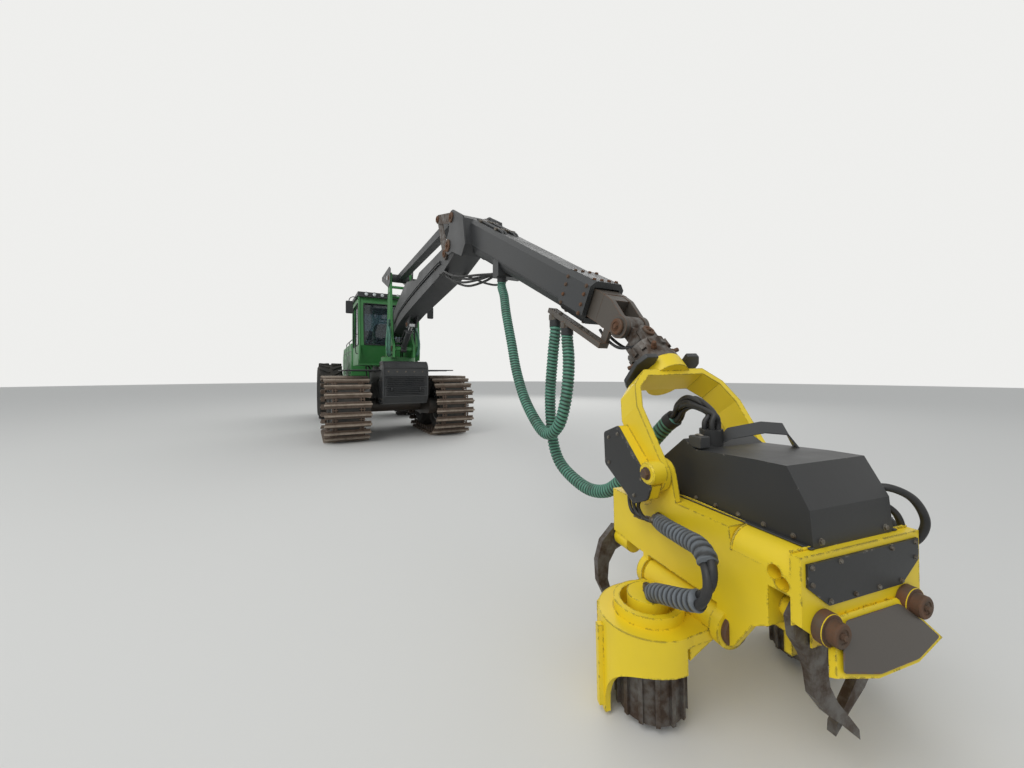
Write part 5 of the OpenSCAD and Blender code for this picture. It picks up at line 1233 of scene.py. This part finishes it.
# %% Louvres, seams, handles and rails of the hood
SLAT_STEP = 0.034
HOOD_FRONT_X, HOOD_FRONT_Z = -2.75, 2.350                  # front edge of the hood's top
HOOD_SLOPE = 0.0226                                        # metres that it falls for each metre aft


def hood_top(x):
    """Height of the hood's top at x: a straight fall towards the rear."""
    return HOOD_FRONT_Z - (HOOD_FRONT_X - x) * HOOD_SLOPE


slat = slab([(0, 0), (0.34, 0), (0.335, 0.008), (0.34, 0.016), (0, 0.016)], 0.0, 0.011, 0.004)
louvres = []
for s in (-1, 1):
    for x0, z0, rows in ((-3.36, 1.52, 15), (-4.02, 1.52, 15), (-5.02, 1.60, 10)):
        for k in range(rows):
            points = slat[0] * (1, s, 1) + (x0, s * 0.6995, z0 + SLAT_STEP * k)
            louvres.append((points, slat[1]))
piece("hood_louvres", joined(*louvres), black_enamel, "hood")
strips, trims = [], []
for x in (-3.44, -4.22, -5.16):
    top = hood_top(x)
    strips += [tube([(x, s * 0.702, 1.33), (x, s * 0.702, top - 0.03), (x, s * 0.66, top + 0.002)], 0.006, 8)
               for s in (-1, 1)]
    strips.append(tube([(x, -0.66, top + 0.003), (x, 0, top + 0.003), (x, 0.66, top + 0.003)], 0.006, 8))
for s in (-1, 1):
    for z, back in ((1.34, -5.74), (2.10, -5.52)):
        trims.append(slab([(back, z), (-2.66, z), (-2.66, z + 0.022), (back, z + 0.022)], s * 0.704 - 0.004,
                          0.008, 0.002))
piece("hood_seams", joined(*strips), hose_rubber, "hood")
piece("hood_side_trims", joined(*trims), black_enamel, "hood")
handles = [tube(curve([(x, s * 0.700, 1.46), (x, s * 0.735, 1.465), (x + 0.16, s * 0.735, 1.465),
                       (x + 0.16, s * 0.700, 1.46)],
                      16), 0.008, 8) for x in (-3.10, -3.86, -4.66) for s in (-1, 1)]
latch = turned([(0.026, 0), (0.026, 0.006), (0.020, 0.010), (0.008, 0.011)], 20)
latch_at, latch_up = both_sides([(-2.92, 1.47), (-3.68, 1.47), (-4.48, 1.47), (-5.40, 1.47)], 0.699)
piece("hood_handles", joined(*handles, repeated(latch, standing(latch_at, latch_up))), black_plastic, "hood")
exhaust = turned([(0.062, 0), (0.062, 0.02), (0.050, 0.03), (0.050, 0.34), (0.055, 0.345), (0.055, 0.40),
                  (0.046, 0.40), (0.046, 0.20)], 32)
bend = tube(curve([(-3.30, 0.35, 2.66), (-3.31, 0.35, 2.76), (-3.36, 0.35, 2.83), (-3.44, 0.35, 2.86)], 16),
            0.046, 20)
piece("exhaust_stack", joined(repeated(exhaust, standing([(-3.30, 0.35, 2.32)], (0, 0, 1))), bend),
      rusty_steel, "hood")
cleaner = turned([(0.055, 0), (0.055, 0.10), (0.105, 0.13), (0.115, 0.16), (0.115, 0.26), (0.095, 0.30),
                  (0.040, 0.315), (0.010, 0.318)], 36)
piece("air_pre_cleaner", repeated(cleaner, standing([(-3.0, -0.35, 2.33)], (0, 0, 1))), black_plastic, "hood")
rails = []
for s in (-1, 1):
    rails.append(tube(curve([(-3.10, s * 0.62, 2.34), (-3.10, s * 0.62, 2.46), (-3.18, s * 0.62, 2.50),
                             (-4.20, s * 0.62, 2.49),
                             (-5.12, s * 0.62, 2.47), (-5.20, s * 0.62, 2.43), (-5.20, s * 0.62, 2.29)], 60),
                      0.014, 10))
    rails.append(tube([(-4.15, s * 0.62, 2.31), (-4.15, s * 0.62, 2.49)], 0.012, 10))
piece("hood_rails", joined(*rails), black_enamel, "hood")
cap = turned([(0.065, 0), (0.065, 0.018), (0.055, 0.026), (0.030, 0.028), (0.028, 0.034), (0.008, 0.036)], 28)
piece("hood_caps", repeated(cap, standing([(-4.70, -0.30, 2.302), (-4.95, 0.30, 2.297), (-3.80, 0.0, 2.322)],
                                          (0, 0, 1))), black_plastic, "hood")
mat_x, mat_y = np.meshgrid(np.linspace(-4.98, -3.56, 143), np.linspace(-0.22, 0.22, 45), indexing="ij")
STUD_WAVE = 157                     # radians a metre, which puts the studs 40 mm apart
studs = np.clip(np.cos(mat_x * STUD_WAVE) * np.cos(mat_y * STUD_WAVE) * 3, 0, 1)
mat = np.stack([mat_x, mat_y, hood_top(mat_x) + 0.004 + 0.003 * studs], axis=-1)
mat[[0, -1], :, 2] -= 0.012
mat[:, [0, -1], 2] -= 0.012
piece("hood_tread_mat", grid_of(mat), tyre_rubber, "hood")
side_bolts, side_out = both_sides([(x, z) for x in (-2.74, -3.52, -4.30, -5.24) for z in (1.42, 1.80, 2.06)],
                                  0.700)
piece("hood_side_bolts", bolts(side_bolts, side_out, 0.009), bolt_steel, "hood")
print("hood louvres", len(louvres))

# %% [markdown]
# ## Lamps, steps and hoses of the rear frame
# Two tail lamps and two turn lamps show behind, and two steps lead up to the hood on each side. At the
# machine's waist, slack hoses carry oil and current over the steering joint; their meshes stay where they
# are made, on no body.

# %% Rear lamps, steps and waist hoses
lamp = turned([(0.050, 0), (0.050, 0.022), (0.044, 0.030), (0.012, 0.034)], 28)
foot = turned([(0.058, 0), (0.058, 0.012), (0.050, 0.016)], 28)
aft = standing([(-5.902, s * 0.60, 1.16) for s in (-1, 1)], (-1, 0, 0), (0, 0, 1))
piece("tail_lamp_feet", repeated(foot, aft), black_plastic, "rear_frame")
piece("tail_lamps", repeated(lamp, aft), red_lens, "rear_frame")
aft = standing([(-5.902, s * 0.46, 1.16) for s in (-1, 1)], (-1, 0, 0), (0, 0, 1))
piece("turn_lamps", repeated(lamp, aft), amber_lens, "rear_frame")
strap = [tube(curve([(-2.60, s * 0.50, 1.31), (-2.56, s * 0.50, 1.38), (-2.52, s * 0.50, 1.31)], 12), 0.010,
              8) for s in (-1, 1)]
steps_side = []
for s in (-1, 1):
    steps_side += [tube([(x, s * 0.40, 1.00), (x, s * 0.72, 0.98), (x, s * 0.72, 0.72)], 0.014, 10)
                   for x in (-3.05, -2.75)]
    steps_side += [slab([(-3.05, z), (-2.75, z), (-2.75, z + 0.024), (-3.05, z + 0.024)], s * 0.72 - 0.05,
                        0.10) for z in (0.73, 0.97)]
piece("rear_steps", joined(*steps_side, *strap), black_enamel, "rear_frame")
waist = []
for y in (-0.30, -0.22, 0.22, 0.30):
    way = curve([(-1.412, y, 1.418), (-1.50, 1.1 * y, 1.57), (-1.80, 1.25 * y, 1.68), (-2.10, 1.2 * y, 1.62),
                 (-2.34, 1.05 * y, 1.46), (-2.40, y, 1.305)], 60)
    hose = piece(f"waist_hose_{'right' if y < 0 else 'left'}_{'outer' if abs(y) > 0.25 else 'inner'}",
                 tube(way, 0.018, 14),
                 hose_rubber, ("front_frame", "rear_frame", (-1.50, y, 1.50), (-2.38, y, 1.40)))
    waist.append(length_of(way))
print("waist hoses", np.round(waist, 2))

# %% Steering cylinders' glands
STEER_FOOT, STEER_EYE = np.array([-0.700, 0.540, 1.130]), np.array([-2.100, 0.450, 1.130])
for side, s in SIDES:
    foot, eye = STEER_FOOT * (1, s, 1), STEER_EYE * (1, s, 1)
    way = (eye - foot) / np.linalg.norm(eye - foot)
    barrel_end = np.linalg.norm(eye - foot) - 0.475
    gland = turned([(0.0285, 0.030), (0.054, 0.028), (0.058, 0.018), (0.058, -0.040), (0.0505, -0.044)], 36)
    ports = [tube([foot + way * d + (0, 0, 0.045), foot + way * d + (0, 0, 0.085)], 0.016, 12)
             for d in (0.13, barrel_end - 0.08)]
    pipe = tube(curve([foot + way * 0.13 + (0, 0, 0.080), foot + way * 0.30 + (0, 0, 0.090),
                       foot + way * (barrel_end - 0.08) + (0, 0, 0.080)], 24), 0.009, 10)
    gland = repeated(gland, standing([foot + way * barrel_end], [way]))
    piece(f"steer_gland_{side}", joined(gland, *ports, pipe), black_enamel, f"steer_barrel_{side}")
print("steering barrel ends", round(float(barrel_end), 3), "m from its foot")
